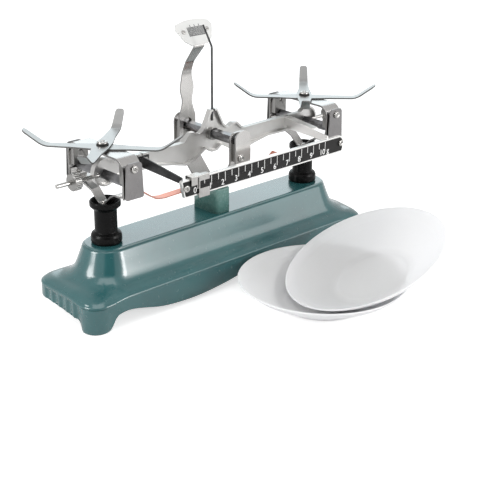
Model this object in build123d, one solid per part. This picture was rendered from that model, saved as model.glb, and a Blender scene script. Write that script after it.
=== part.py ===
from build123d import *
import os
from math import cos, pi, radians, sin, tan

# Table balance of the Roberval kind. Millimetres, +X along the beam, -Y the side with the rider bar,
# +Z up. The origin is on the table, midway along the base.

# Main sizes
base_length = 308.0
base_width = 78.0
flange_height = 24.0        # top edge of the skirt above the table
ridge_height = 56.4         # flat top of the raised ridge
post_spacing = base_length - 88.0   # between the two black posts, and between the two hangers
post_height = 34.7
pillar_height = 21.6
fulcrum_height = ridge_height + 62.1        # edge of the centre knife
end_knife_height = fulcrum_height - 2.0     # edges of the two end knives
pan_diameter = 138.0
pan_height = pan_diameter * 0.1565
arm = post_spacing / 2

# Base casting
wall = 4.0
base_corner = 14.0
nose_corner = 25.0          # plan radius of the cove where it leaves the flange
nose_start, nose_full = 26.0, 32.5
ridge_half_width = base_width / 2 - 19.4
ridge_half_length = arm + 19.0
foot_radius = 10.0
foot_flare = 2.6
front_foot = (base_length / 2 - 11.4, base_width / 2 - 11.8)
front_foot_top = (base_length / 2 - 12.8, base_width / 2 - 12.8)
rear_foot = (base_length / 2 - 38.0, base_width / 2 - 13.5)
end_skirt_lift = 12.0       # gap between the table and the skirt at the two ends
flute_radius = 5.5
flute_depth = 1.2
flute_pitch = 9.6

# Posts
post_tube_radius = 9.0
post_collar_radius = 12.3
post_collar_height = 8.6
post_bore = 7.2
spigot_radius = 9.4
spigot_fit = 0.1
ring_nut_radius = 12.2
nut_seat_gap = 0.5
ring_nut_height = 4.5

# Central pillar and fork
pillar_x = 16.0
pillar_y = 31.0
fork_width = 17.6
fork_metal = 2.2
fork_reach = 31.3           # inner face of each upright from the middle
fork_top = fulcrum_height + 12.5
knife_window = 9.4
cover_metal = 1.2
bearing_depth = 4.0

# Beam
web_metal = 1.6
rim_depth = 3.2
rim_metal = 1.5
beam_top = fulcrum_height + 3.0
beam_bottom = fulcrum_height - 9.5
beam_eye_radius = 11.2
eye_centre_z = fulcrum_height - 3.9
knife_width = 6.4
end_knife_width = 5.6
end_knife_depth = 7.0

# Pointer and its plate
pointer_bend_z = fulcrum_height + 76.0
plate_lean = 33.0           # degrees back from upright
plate_foot = (12.5, pointer_bend_z)     # Y and Z of the plate's lower edge
plate_metal = 1.2
strip_metal = 1.3

# Rider bar
bar_y = -52.0               # back face
bar_metal = 3.0
bar_height = 14.4
bar_z = fulcrum_height - 13.1       # middle of its height
left_arm_x = 34.6 - arm     # the two brackets that hold the bar
right_arm_x = arm - 24.4
bar_left = left_arm_x - 3.1
bar_right = right_arm_x + 16.2
scale_zero = left_arm_x + 12.5
gram = (right_arm_x - left_arm_x - 19.1) / 10   # distance between two whole-gram marks
rider_length = 18.2
rider_left = scale_zero - 7.1   # the rider stands at zero
rider_right = rider_left + rider_length

# Hangers and pan supports
hanger_width = 17.0
hanger_metal = 1.6
hanger_reach = 34.2         # inner face of each leg from the middle
end_knife_reach = hanger_reach - 2.0    # half length of an end knife
bridge_z = end_knife_height + 14.9      # underside of the bridge
leg_foot_z = end_knife_height - 14.5
strip_length = 124.8
cross_metal = 1.2
cross_flat = 45.8           # where an arm starts to rise
cross_rise = 35.0           # degrees
stem_radius = 2.5
lever_z = ridge_height - 22.4           # pivot of the lower lever

running_gap = 0.3
pin_fit = 0.06


def block(x, y, z):
    """A box from its low and high values along each axis."""
    size = (x[1] - x[0], y[1] - y[0], z[1] - z[0])
    return Pos(x[0], y[0], z[0]) * Box(*size, align=(Align.MIN, Align.MIN, Align.MIN))


def rod_x(radius, x, y, z):
    return Pos((x[0] + x[1]) / 2, y, z) * Rot(0, 90, 0) * Cylinder(radius, x[1] - x[0])


def rod_y(radius, x, y, z):
    return Pos(x, (y[0] + y[1]) / 2, z) * Rot(90, 0, 0) * Cylinder(radius, y[1] - y[0])


def rod_z(radius, x, y, z):
    return Pos(x, y, (z[0] + z[1]) / 2) * Cylinder(radius, z[1] - z[0])


def across_y(face, y):
    """Thickens a drawing made in X and Z between two values of Y."""
    return extrude(Plane.XZ.offset(-y[1]) * face, amount=y[1] - y[0])


def across_x(face, x):
    """Thickens a drawing made in Y and Z between two values of X."""
    return extrude(Plane.YZ.offset(x[0]) * face, amount=x[1] - x[0])


def bent_strip(points, radii, metal):
    """Edge view of a strip of sheet metal that lies to the left of its path."""
    return make_face(offset(FilletPolyline(*points, radius=radii), amount=metal, side=Side.LEFT, closed=True))


def outline(points):
    return make_face(Polyline(*points, close=True))


def mirrored(shape, plane=Plane.YZ):
    return mirror(shape, about=plane)


def screw(radius, head, head_radius, length):
    """Pan-head screw along +Z: the head's underside is at zero and the shank runs down."""
    shank = Pos(0, 0, -length / 2) * Cylinder(radius, length)
    cap = Cylinder(head_radius, head, align=(Align.CENTER, Align.CENTER, Align.MIN))
    cap = fillet(cap.edges().sort_by(Axis.Z)[-1], head * 0.45)
    depth = head * 0.45
    cross = Box(head_radius * 1.15, 0.55, depth * 2) + Box(0.55, head_radius * 1.15, depth * 2)
    return shank + cap - Pos(0, 0, head) * cross


parts = {}


# Base casting: a hollow shell with a fluted skirt, a raised ridge and four feet
base_profile = [            # half length, half width, height
    (base_length / 2, base_width / 2, flange_height),
    (base_length / 2 - 1.4, base_width / 2 - 2.0, flange_height + 3.0),
    (base_length / 2 - 4.5, base_width / 2 - 7.5, flange_height + 5.5),
    (base_length / 2 - 11.0, base_width / 2 - 11.0, flange_height + 7.5),
    (ridge_half_length + 10.0, ridge_half_width + 7.2, flange_height + 9.5),
    (ridge_half_length + 7.4, ridge_half_width + 5.4, flange_height + 13.0),
    (ridge_half_length + 5.0, ridge_half_width + 3.8, flange_height + 18.0),
    (ridge_half_length + 2.6, ridge_half_width + 2.0, flange_height + 24.0),
    (ridge_half_length, ridge_half_width, ridge_height - 1.8),
]
cove_steps = 18


def cove_corner(half_width, z, inset=0.0):
    """Plan radius of the cove: the skirt's own at the flange, and nearly a half circle round the ridge."""
    share = min(1.0, max(0.0, (z - nose_start) / (nose_full - nose_start)))
    wide = base_corner + (nose_corner - base_corner) * share - inset * 0.6
    return min(wide, half_width - inset - 0.7)


def cove(inset):
    """The sweep from the flange up to the ridge, as a stack of rounded rectangles."""
    curve = Spline(*base_profile)
    stack = []
    for i in range(cove_steps + 1):
        p = curve @ (i / cove_steps)
        plan = RectangleRounded(2 * (p.X - inset), 2 * (p.Y - inset), cove_corner(p.Y, p.Z, inset))
        stack.append(Pos(0, 0, p.Z) * plan)
    return loft(stack, ruled=True)


def skirt(inset, low, high):
    plan = RectangleRounded(base_length - 2 * inset, base_width - 2 * inset, base_corner - inset * 0.6)
    return extrude(Pos(0, 0, low) * plan, amount=high - low)


def foot(low, high):
    """A stubby round foot between its centre on the table and its centre under the flange."""
    top = Pos(*high, flange_height - 2.0) * Circle(foot_radius + foot_flare)
    return loft([Pos(*low, 0) * Circle(foot_radius), top])


def side_arch():
    """The hollow line under the front and back skirts, between the feet."""
    reach = front_foot[0] - foot_radius
    shares = [
        (1.0, 8.0), (0.974, 11.6), (0.909, 13.0), (0.834, 11.6),
        (0.653, 5.6), (0.495, 3.4), (0.336, 3.2), (0.136, 5.6),
    ]
    half = [(reach * share, z) for share, z in shares]
    curve = Spline(*[(-x, z) for x, z in half], (0.0, 8.6), *reversed(half))
    floor = Polyline((reach, 8.0), (reach, -2.0), (-reach, -2.0), (-reach, 8.0))
    return across_y(make_face(curve + floor), (-base_width, base_width))


def end_gap(side):
    """The gap under the skirt at one end, from the front foot round the back corner."""
    inner = rear_foot[0] + 2.0
    front = -front_foot[1] + foot_radius - 1.0
    face = outline([
        (front, -2), (front, 8.0), (0, 10.4), (20, end_skirt_lift),
        (base_width, end_skirt_lift + 1), (base_width, -2),
    ])
    return across_x(face, (inner, base_length) if side > 0 else (-base_length, -inner))


def flutes(side):
    tools = []
    for i in range(5):
        y = -18.0 + i * flute_pitch
        x = side * (base_length / 2 + flute_radius - flute_depth)
        tools.append(rod_z(flute_radius, x, y, (-1, flange_height - 2.5)))
    return tools


ridge_under = ridge_height - 1.8 - wall
body = skirt(0, 0, flange_height) + cove(0)
slab_step = 1.3
slab_plan = RectangleRounded(
    2 * (ridge_half_length - slab_step), 2 * (ridge_half_width - slab_step),
    cove_corner(ridge_half_width, ridge_height, slab_step),
)
body += extrude(Pos(0, 0, ridge_height - 1.9) * slab_plan, amount=1.9)
hollow = skirt(wall, -1, flange_height - wall) + Pos(0, 0, -wall) * cove(wall)
body -= hollow
for side in (-1, 1):
    body -= rod_z(spigot_radius + spigot_fit, side * arm, 0, (ridge_height - 12, ridge_height + 2))
    body -= rod_z(ring_nut_radius + nut_seat_gap, side * arm, 0, (ridge_under - 14, ridge_under))
pillar_bolts = [(0, -10.8), (0, 10.8)]
for x, y in pillar_bolts:
    body -= rod_z(2.6, x, y, (ridge_height - 12, ridge_height + 2))
body -= side_arch()
for side in (-1, 1):
    body -= end_gap(side)
    for tool in flutes(side):
        body -= tool
    body += foot((side * front_foot[0], -front_foot[1]), (side * front_foot_top[0], -front_foot_top[1]))
    body += foot((side * rear_foot[0], rear_foot[1]), (side * rear_foot[0], rear_foot[1]))
parts["base_casting"] = body

# Posts, each with a flange at both ends, and the ring nuts that hold them under the ridge
post_top = ridge_height + post_height
collar_low = post_top - post_collar_height + 1.2
collar_top = ridge_height + post_collar_height      # top of the lower collar
spigot_foot = ridge_under - ring_nut_height - 1.0
post_section = outline([
    (post_bore, spigot_foot), (spigot_radius, spigot_foot), (spigot_radius, ridge_height),
    (post_collar_radius - 0.6, ridge_height), (post_collar_radius, ridge_height + 1.4),
    (post_collar_radius, collar_top - 2.6), (post_collar_radius - 0.9, collar_top - 0.7),
    (post_collar_radius - 2.2, collar_top), (post_tube_radius, collar_top + 0.8),
    (post_tube_radius, collar_low), (post_collar_radius, collar_low + 3.2),
    (post_collar_radius, post_top - 0.7), (post_collar_radius - 0.5, post_top),
    (post_collar_radius - 1.0, post_top), (post_bore, post_top - 6.5),
])
post = revolve(Plane.XZ * post_section, Axis.Z)
ring_nut = rod_z(ring_nut_radius, 0, 0, (ridge_under - ring_nut_height, ridge_under))
ring_nut -= rod_z(spigot_radius + spigot_fit, 0, 0, (0, ridge_height))
for i in range(4):
    turn = Rot(0, 0, 90 * i + 45)
    notch_at = Pos(ring_nut_radius, 0, ridge_under - ring_nut_height / 2)
    ring_nut -= turn * notch_at * Box(4.0, 3.0, ring_nut_height + 2)
parts["left_post"] = Pos(-arm, 0, 0) * post
parts["right_post"] = Pos(arm, 0, 0) * post
parts["post_ring_nuts"] = [Pos(-arm, 0, 0) * ring_nut, Pos(arm, 0, 0) * ring_nut]

# Central pillar and its bolts
pillar_top = ridge_height + pillar_height
pillar = block((-pillar_x / 2, pillar_x / 2), (-pillar_y / 2, pillar_y / 2), (ridge_height, pillar_top))
pillar = fillet(pillar.edges().filter_by(Axis.Z), 3.6)
pillar = fillet(pillar.faces().sort_by(Axis.Z)[-1].edges(), 1.2)
for x, y in pillar_bolts:
    pillar -= rod_z(2.5, x, y, (ridge_height - 1, ridge_height + 13))
clamp_screws_at = (-5.0, 5.0)
for y in clamp_screws_at:
    pillar -= rod_z(1.6, 0, y, (pillar_top - 9, pillar_top + 1))
parts["central_pillar"] = pillar
bracket_metal = 2.0
bolt = screw(2.45, 3.2, 4.2, wall + 1.8 + bracket_metal + 10)
bolt_seat = ridge_under - bracket_metal
parts["pillar_bolts"] = [Pos(x, y, bolt_seat) * Rot(180, 0, 0) * bolt for x, y in pillar_bolts]

# Fork that carries the fulcrum
fork_low = pillar_top + fork_metal
fork_path = [
    (fork_reach, fork_top), (fork_reach, fork_low + 24.3), (7.6, fork_low),
    (-7.6, fork_low), (-fork_reach, fork_low + 24.3), (-fork_reach, fork_top),
]
fork_edge = bent_strip(fork_path, [7, 4, 4, 7], fork_metal)
fork = across_x(fork_edge, (-fork_width / 2, fork_width / 2))
window_low = fulcrum_height - 4.0
window_high = fulcrum_height + 11.0


def window(y):
    hole = block((-knife_window / 2, knife_window / 2), y, (window_low, window_high - knife_window / 2))
    return hole + rod_y(knife_window / 2, 0, y, window_high - knife_window / 2)


fork -= window((-60, 60))
fork_tops = fork.edges().filter_by(Axis.Y).group_by(Axis.Z)[-1]
fork = fillet(fork_tops, 6.0)
for y in clamp_screws_at:
    fork -= rod_z(1.7, 0, y, (pillar_top - 1, pillar_top + 6))
cover_screw = (-2.6, fulcrum_height - 8.1)
fork -= rod_y(1.6, cover_screw[0], (-60, 60), cover_screw[1])
fork_outer = fork_reach + fork_metal
parts["fulcrum_fork"] = fork

bearing_z = (fulcrum_height - 11.5, fulcrum_height + 4.2)
bearing = block((-6.2, 6.2), (fork_outer, fork_outer + bearing_depth), bearing_z)
notch_depth = fulcrum_height - 0.1
notch = outline([(0, notch_depth), (8.4, notch_depth + 5.0), (-8.4, notch_depth + 5.0)])
bearing -= across_y(notch, (fork_outer - 1, fork_outer + bearing_depth + 1))
bearing -= rod_y(1.6, cover_screw[0], (fork_outer - 1, fork_outer + 9), cover_screw[1])
parts["fulcrum_bearings"] = [bearing, mirrored(bearing, Plane.XZ)]

cover_low, cover_top, cover_half = fulcrum_height - 12.9, fulcrum_height + 14.5, 8.2
cover_face = outline([
    (-cover_half, cover_low), (cover_half, cover_low), (cover_half, cover_top), (-cover_half, cover_top),
])
cover_face = fillet(cover_face.vertices().group_by(Axis.Y)[-1], cover_half - 0.6)
cover_face = fillet(cover_face.vertices().group_by(Axis.Y)[0], 2.4)
cover_in = fork_outer + bearing_depth
cover = across_y(cover_face, (cover_in, cover_in + cover_metal))
cover -= rod_y(1.6, cover_screw[0], (cover_in - 1, cover_in + 3), cover_screw[1])
parts["fulcrum_covers"] = [cover, mirrored(cover, Plane.XZ)]
cover_out = cover_in + cover_metal
fork_bolt = screw(1.5, 1.8, 3.0, cover_out - fork_reach + 0.2)
fork_bolt = Pos(cover_screw[0], cover_out, cover_screw[1]) * Rot(-90, 0, 0) * fork_bolt
parts["fulcrum_cover_screws"] = [fork_bolt, mirrored(fork_bolt, Plane.XZ)]

# Index strip that rises from the rear upright and carries the plate
lean = radians(plate_lean)
foot_y, foot_z = plate_foot
tab = 17.0
strip_foot = fulcrum_height - 10.7
back_off = plate_metal + strip_metal
fold = (foot_y + back_off * cos(lean), foot_z - back_off * sin(lean))
strip_path = [
    (fork_reach, strip_foot), (fork_reach, foot_z - 26.0), (fork_reach - 4.6, foot_z - 16.0), fold,
    (fold[0] + tab * sin(lean), fold[1] + tab * cos(lean)),
]
strip_edge = bent_strip(strip_path, [18, 10, 1.6], strip_metal)
half_widths = [             # height over the fulcrum and half the strip's width there
    (12.5, 8.8), (19.5, 6.4), (26.0, 5.2), (31.5, 6.4), (37.0, 7.2), (42.5, 6.2),
    (50.0, 4.9), (59.5, 4.5), (69.5, 5.3), (78.5, 5.6),
]
right_edge = Spline(*[(w, fulcrum_height + rise) for rise, w in half_widths])
left_edge = Spline(*[(-w, fulcrum_height + rise) for rise, w in reversed(half_widths)])
w0, z0 = half_widths[0][1], strip_foot
tab_low, tab_half = foot_z + 5.0, 15.0
silhouette = make_face(
    Line((-w0, z0), (w0, z0)) + Line((w0, z0), right_edge @ 0) + right_edge
    + Line(right_edge @ 1, left_edge @ 0) + left_edge + Line(left_edge @ 1, (-w0, z0))
)
silhouette += Pos(0, tab_low + 8) * Rectangle(2 * tab_half, 16) + Pos(0, tab_low - 2) * Rectangle(11.2, 5)
strip = across_x(strip_edge, (-tab_half, tab_half)) & across_y(silhouette, (0, 60))
strip -= window((0, 60))
strip -= rod_y(1.6, cover_screw[0], (0, 60), cover_screw[1])

# Index plate, drawn flat with its lower edge at zero and then leaned back
plate_place = Pos(0, foot_y, foot_z) * Rot(90 - plate_lean, 0, 0)
shield = Polyline(
    (-8.6, 0), (8.6, 0), (14.6, 4.6), (19.6, 15.4), (17.0, 19.6), (8.5, 21.4), (0, 22.0),
    (-8.5, 21.4), (-17.0, 19.6), (-19.6, 15.4), (-14.6, 4.6), close=True,
)
plate = extrude(make_face(shield), amount=-plate_metal)
plate = fillet(plate.edges().filter_by(Axis.Z), 1.6)
index_screw_u, index_screw_v = 12.4, 12.0
for u in (-index_screw_u, index_screw_u):
    hole = Pos(u, index_screw_v, 0) * Cylinder(0.9, 8 * plate_metal)
    plate -= hole
    strip -= plate_place * hole
parts["index_strip"] = strip
parts["index_plate"] = plate_place * plate
index_screw = screw(0.85, 0.9, 1.7, plate_metal + strip_metal + 0.5)
parts["index_screws"] = [
    plate_place * Pos(u, index_screw_v, 0) * index_screw for u in (-index_screw_u, index_screw_u)
]

# Copper strip clamped across the foot of the fork, with its ends turned up
copper_metal = 0.8
copper_z = fork_low
copper_half = [(-75.5, copper_z + 9.6), (-62.5, copper_z + 0.2), (-54.0, copper_z - 0.9), (-11.0, copper_z)]
copper_path = copper_half + [(-x, z) for x, z in reversed(copper_half)]
copper_edge = bent_strip(list(copper_path), [10, 8, 30, 30, 8, 10], copper_metal)
copper = across_y(copper_edge, (-4.0, 4.0))
for y in clamp_screws_at:
    copper -= rod_z(1.7, 0, y, (copper_z - 3, copper_z + 5))
parts["copper_strip"] = copper
clamp_screw = screw(1.5, 1.8, 2.8, 9.5)
parts["copper_strip_screws"] = [Pos(0, y, copper_z + copper_metal) * clamp_screw for y in clamp_screws_at]

# Beam: a pressed plate with a rim that faces the front
beam_half = [               # right half of the outline over the fulcrum, from the peak down to the belly
    (3.6, 25.1), (10.6, 10.9), (15.6, 6.9), (21.0, 9.9), (25.6, 9.9), (33.0, 3.0),
    (arm - 8.0, 3.6), (arm - 8.0, -10.5), (62.0, -9.9), (45.0, -13.1),
    (31.0, -16.7), (21.0, -13.9), (14.0, -9.9), (8.6, -6.9), (3.2, -10.7),
]
beam_points = [(x, fulcrum_height + rise) for x, rise in beam_half]
beam_points += [(-x, z) for x, z in reversed(beam_points)]
flat_beam = outline(beam_points)
eye_x = arm + 0.8
flat_beam = fillet(flat_beam.vertices().filter_by(lambda v: abs(v.X) < 80 and abs(v.X) > 5), 2.6)
for side in (-1, 1):
    flat_beam += Pos(side * eye_x, eye_centre_z) * Circle(beam_eye_radius)
inner_beam = offset(flat_beam, amount=-rim_metal)
web_front = -web_metal / 2
rim_front = web_front - rim_depth
beam = across_y(flat_beam, (rim_front, web_metal / 2)) - across_y(inner_beam, (rim_front - 1, web_front))
centre_knife_outline = [
    (0, fulcrum_height), (knife_width / 2, fulcrum_height + 4.2), (knife_width / 2, fulcrum_height + 8.0),
    (-knife_width / 2, fulcrum_height + 8.0), (-knife_width / 2, fulcrum_height + 4.2),
]
end_knife_outline = [
    (0, end_knife_height), (-end_knife_width / 2, end_knife_height - 3.6),
    (-end_knife_width / 2, end_knife_height - end_knife_depth),
    (end_knife_width / 2, end_knife_height - end_knife_depth),
    (end_knife_width / 2, end_knife_height - 3.6),
]
beam -= across_y(outline(centre_knife_outline), (-9, 9))
for side in (-1, 1):
    beam -= Pos(side * arm, 0, 0) * across_y(outline(end_knife_outline), (-9, 9))
beam -= across_y(Pos(0, fulcrum_height + 23.0) * Rectangle(2.2, 8), (rim_front - 1, web_front))
screw_rod_y = web_front - rim_depth / 2
screw_rod_z = fulcrum_height - 5.5
screw_rod_radius = 1.7
for side in (-1, 1):
    x = side * (eye_x + beam_eye_radius)
    beam -= rod_x(screw_rod_radius, (x - 6, x + 6), screw_rod_y, screw_rod_z)

knife = across_y(outline(centre_knife_outline), (-cover_in + running_gap, cover_in - running_gap))
collar = rod_y(5.4, 0, (rim_front + 0.2, web_front), fulcrum_height + 4.2)
collar -= across_y(outline(centre_knife_outline), (-9, 9))
parts["centre_knife"] = knife
parts["centre_knife_collar"] = collar
end_knife = across_y(outline(end_knife_outline), (-end_knife_reach, end_knife_reach))
parts["left_end_knife"] = Pos(-arm, 0, 0) * end_knife
parts["right_end_knife"] = Pos(arm, 0, 0) * end_knife

# Pointer, lying on the front of the beam's peak
pointer_metal = 0.9
tip_run = 19.0
pointer_path = [
    (web_front, fulcrum_height + 15.0), (web_front, pointer_bend_z),
    (web_front + tip_run * sin(lean), pointer_bend_z + tip_run * cos(lean)),
]
pointer_edge = bent_strip(pointer_path, [5], pointer_metal)
pointer_low, pointer_high = fulcrum_height + 11.5, pointer_bend_z + 27.5
pointer_plan = outline([
    (-0.95, pointer_low), (0.95, pointer_low), (0.85, pointer_bend_z), (0.3, pointer_high),
    (-0.3, pointer_high), (-0.85, pointer_bend_z),
])
pointer = across_x(pointer_edge, (-3, 3)) & across_y(pointer_plan, (-30, 60))
parts["pointer"] = pointer

# Rider arms: left and right brackets between the beam and the rider bar
arm_metal = 1.4
bar_low, bar_high = bar_z - bar_height / 2, bar_z + bar_height / 2
tab_metal = 1.4
bar_screw_x = (bar_left + 4.3, bar_right - 3.8)
bar_screw_z = (bar_z + 0.7, bar_z + 1.0)
arm_low, arm_high = fulcrum_height - 6.1, fulcrum_height + 0.7      # pad that is riveted to the beam
arm_rivet_z = fulcrum_height - 2.7
tab_low_z = bar_high - 10.0


def rider_arm(x, bar_tab_x, rivet_x):
    """A bracket from the beam's web, through a slot in its rim, to the back of the rider bar."""
    web = across_x(
        outline([
            (bar_y + tab_metal / 2, bar_high - 3.6), (rim_front, arm_low - 1.8), (rim_front, arm_high + 0.6),
            (bar_y + tab_metal / 2, bar_high + 1.6),
        ]),
        (x - arm_metal / 2, x + arm_metal / 2),
    )
    neck = block((x - arm_metal / 2, x + arm_metal / 2), (rim_front - 0.1, web_front), (arm_low, arm_high))
    pad_x = (x - arm_metal / 2, rivet_x + 3.2)
    pad = block(pad_x, (web_front - arm_metal, web_front), (arm_low, arm_high))
    bar_tab = block(bar_tab_x, (bar_y, bar_y + tab_metal), (tab_low_z, bar_high - 2.0)) + block(
        (x - arm_metal / 2, x + arm_metal / 2), (bar_y, bar_y + tab_metal), (tab_low_z, bar_high + 1.4))
    bracket = web + neck + pad + bar_tab
    return bracket - rod_y(1.3, rivet_x, (-6, 2), arm_rivet_z)


rivets_x = (left_arm_x + 5.0, right_arm_x + 5.0)
left_arm = rider_arm(left_arm_x, (left_arm_x - arm_metal / 2, rider_left - 0.4), rivets_x[0])
right_arm = rider_arm(right_arm_x, (right_arm_x - arm_metal / 2, bar_right - 0.4), rivets_x[1])
flange_face = outline([
    (rim_front - 0.6, arm_high - 0.6), (-34.0, arm_high - 3.5),
    (-34.0, arm_high - 2.3), (rim_front - 0.6, arm_high + 0.6),
])
right_arm += across_x(flange_face, (right_arm_x, right_arm_x + 6.2))
for x in rivets_x:
    beam -= rod_y(1.3, x, (-6, 2), arm_rivet_z)
slot_half = arm_metal / 2 + 0.1
rim_slot = [
    block((x - slot_half, x + slot_half), (rim_front - 1, web_front), (arm_low - 2.0, beam_top + 2))
    for x in (left_arm_x, right_arm_x)
]
for tool in rim_slot:
    beam -= tool
parts["beam_plate"] = beam
rivet = rod_y(1.25, 0, (web_front - arm_metal, web_metal / 2), arm_rivet_z)
rivet += rod_y(2.2, 0, (web_front - arm_metal - 0.8, web_front - arm_metal), arm_rivet_z)
rivet += rod_y(2.2, 0, (web_metal / 2, web_metal / 2 + 0.8), arm_rivet_z)
parts["rider_arm_rivets"] = [Pos(x, 0, 0) * rivet for x in rivets_x]
for x, z in zip(bar_screw_x, bar_screw_z):
    hole = rod_y(1.6, x, (bar_y - 8, bar_y + 8), z)
    left_arm -= hole
    right_arm -= hole
parts["left_rider_arm"] = left_arm
parts["right_rider_arm"] = right_arm

# Rider bar, its black scale face and its screws
bar_chamfer = 3.2
bar_front = bar_y - bar_metal
bar_face = outline([
    (bar_left + bar_chamfer, bar_low), (bar_right - bar_chamfer * 0.4, bar_low),
    (bar_right, bar_low + bar_chamfer), (bar_right, bar_high - bar_chamfer),
    (bar_right - bar_chamfer, bar_high),
    (bar_left + 1.2, bar_high), (bar_left, bar_high - 1.6),
])
bar_face = fillet(bar_face.vertices(), 1.0)
bar = across_y(bar_face, (bar_front, bar_y))
scale_metal = 0.4
scale_margin = 1.2      # bright metal left showing round the black face
scale_face = across_y(offset(bar_face, amount=-scale_margin), (bar_front - scale_metal, bar_front))
for x, z in zip(bar_screw_x, bar_screw_z):
    hole = rod_y(1.6, x, (bar_y - 8, bar_y + 8), z)
    bar -= hole
    scale_face -= hole
parts["rider_bar"] = bar
parts["rider_scale_face"] = scale_face
face_front = bar_front - scale_metal
bar_screw = screw(1.5, 1.7, 2.7, -face_front + bar_y + tab_metal + 0.6)
parts["rider_bar_screws"] = [
    Pos(x, face_front, z) * Rot(90, 0, 0) * bar_screw for x, z in zip(bar_screw_x, bar_screw_z)
]

# Rider: a saddle over the bar, with a window over the scale that is open to the right
rider_gap = 0.25
saddle_low = bar_high + 0.05
saddle_metal = 1.6
jaw_metal = 1.2
jaw_y = (face_front - rider_gap - jaw_metal, face_front - rider_gap)
back_y = (bar_y + rider_gap, bar_y + rider_gap + 2.6)
saddle_z = (saddle_low, saddle_low + saddle_metal)
back_right = rider_left + 12.0      # the back stops short, so that the rider passes the right arm
saddle = block((rider_left, back_right), (jaw_y[0], back_y[1]), saddle_z)
saddle += block((rider_left, rider_right), (jaw_y[0], bar_y - running_gap), saddle_z)
right_jaw = block((rider_right - 10.6, rider_right), jaw_y, (bar_low - 2.0, saddle_low))
window_x = (rider_right - 9.6, rider_right + 1.0)
right_jaw -= block(window_x, (jaw_y[0] - 1, jaw_y[1] + 1), (bar_low + 5.3, bar_low + 11.4))
left_jaw = block((rider_left, rider_left + 6.2), jaw_y, (bar_low + 9.0, saddle_low))
back = block((rider_left, back_right), back_y, (bar_low + 5.8, saddle_low))
rider = saddle + right_jaw + left_jaw + back
parts["rider"] = rider

# Balance screws and their knurled nuts
nut_radius = 6.8
nut_length = 6.6
left_nut_x = (-arm - 32.0, -arm - 32.0 + nut_length)
right_nut_x = (arm + 26.4, arm + 26.4 + nut_length)
eye_edge = eye_x + beam_eye_radius


def balance_nut(x):
    nut = rod_x(nut_radius, x, screw_rod_y, screw_rod_z)
    nut = chamfer(nut.edges().filter_by(GeomType.CIRCLE), 0.6)
    nut -= rod_x(screw_rod_radius + pin_fit, (x[0] - 1, x[1] + 1), screw_rod_y, screw_rod_z)
    grooves = 24
    for i in range(grooves):
        a = 2 * pi * i / grooves
        y = screw_rod_y + (nut_radius + 0.15) * cos(a)
        z = screw_rod_z + (nut_radius + 0.15) * sin(a)
        nut -= rod_x(0.45, (x[0] - 1, x[1] + 1), y, z)
    return nut


for side, x in (("left", (-arm - 45.0, -eye_edge + 5.0)), ("right", (eye_edge - 5.0, arm + 40.0))):
    parts[side + "_balance_screw"] = rod_x(screw_rod_radius, x, screw_rod_y, screw_rod_z)
parts["left_balance_nut"] = balance_nut(left_nut_x)
parts["right_balance_nut"] = balance_nut(right_nut_x)

# Hangers: each is made about the middle and then set at its end of the beam
bridge_corner = 8.0
bridge_edge = bent_strip(
    [
        (-hanger_reach, leg_foot_z), (-hanger_reach, bridge_z),
        (hanger_reach, bridge_z), (hanger_reach, leg_foot_z),
    ],
    [bridge_corner, bridge_corner], hanger_metal,
)
bridge = across_x(bridge_edge, (-hanger_width / 2, hanger_width / 2))
leg_out = hanger_reach + hanger_metal
hanger_screw_z = bridge_z - 6.0
bridge -= rod_y(1.6, 0, (-60, 60), hanger_screw_z)
rivet_z = leg_foot_z + 4.9
bridge -= rod_y(1.3, 0, (-60, 60), rivet_z)
bridge -= rod_z(2.1, 0, 0, (bridge_z - 1, bridge_z + 5))

bearing_in = hanger_reach - 5.0
end_bearing = across_x(outline([
    (bearing_in, end_knife_height - 2.9), (hanger_reach, end_knife_height - 2.9),
    (hanger_reach, end_knife_height + 6.1),
    (hanger_reach - 2.2, end_knife_height + 11.3), (bearing_in, end_knife_height + 11.3),
]), (-7.0, 7.0))
end_notch_z = end_knife_height + 0.1
end_notch = outline([(0, end_notch_z), (7.2, end_notch_z - 4.4), (-7.2, end_notch_z - 4.4)])
end_bearing -= across_y(end_notch, (hanger_reach - 6, hanger_reach + 1))
end_bearing -= rod_y(1.6, 0, (hanger_reach - 6, hanger_reach + 1), hanger_screw_z)

hanger_cover_face = outline([
    (-8.5, leg_foot_z), (8.5, leg_foot_z), (7.2, bridge_z - 1), (-7.2, bridge_z - 1),
])
hanger_cover_face = fillet(hanger_cover_face.vertices().group_by(Axis.Y)[-1], 3.4)
hanger_cover_face = fillet(hanger_cover_face.vertices().group_by(Axis.Y)[0], 1.8)
standoff = 1.6
hanger_cover = across_y(hanger_cover_face, (leg_out + standoff, leg_out + standoff + cover_metal))
hanger_cover += rod_y(3.4, 0, (leg_out, leg_out + standoff + 0.1), hanger_screw_z)
hanger_cover -= rod_y(1.6, 0, (leg_out - 1, leg_out + 5), hanger_screw_z)
hanger_cover_out = leg_out + standoff + cover_metal
hanger_screw = Pos(0, hanger_cover_out, hanger_screw_z) * Rot(-90, 0, 0) * screw(
    1.5, 1.9, 3.0, hanger_cover_out - hanger_reach + 4.6)

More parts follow.
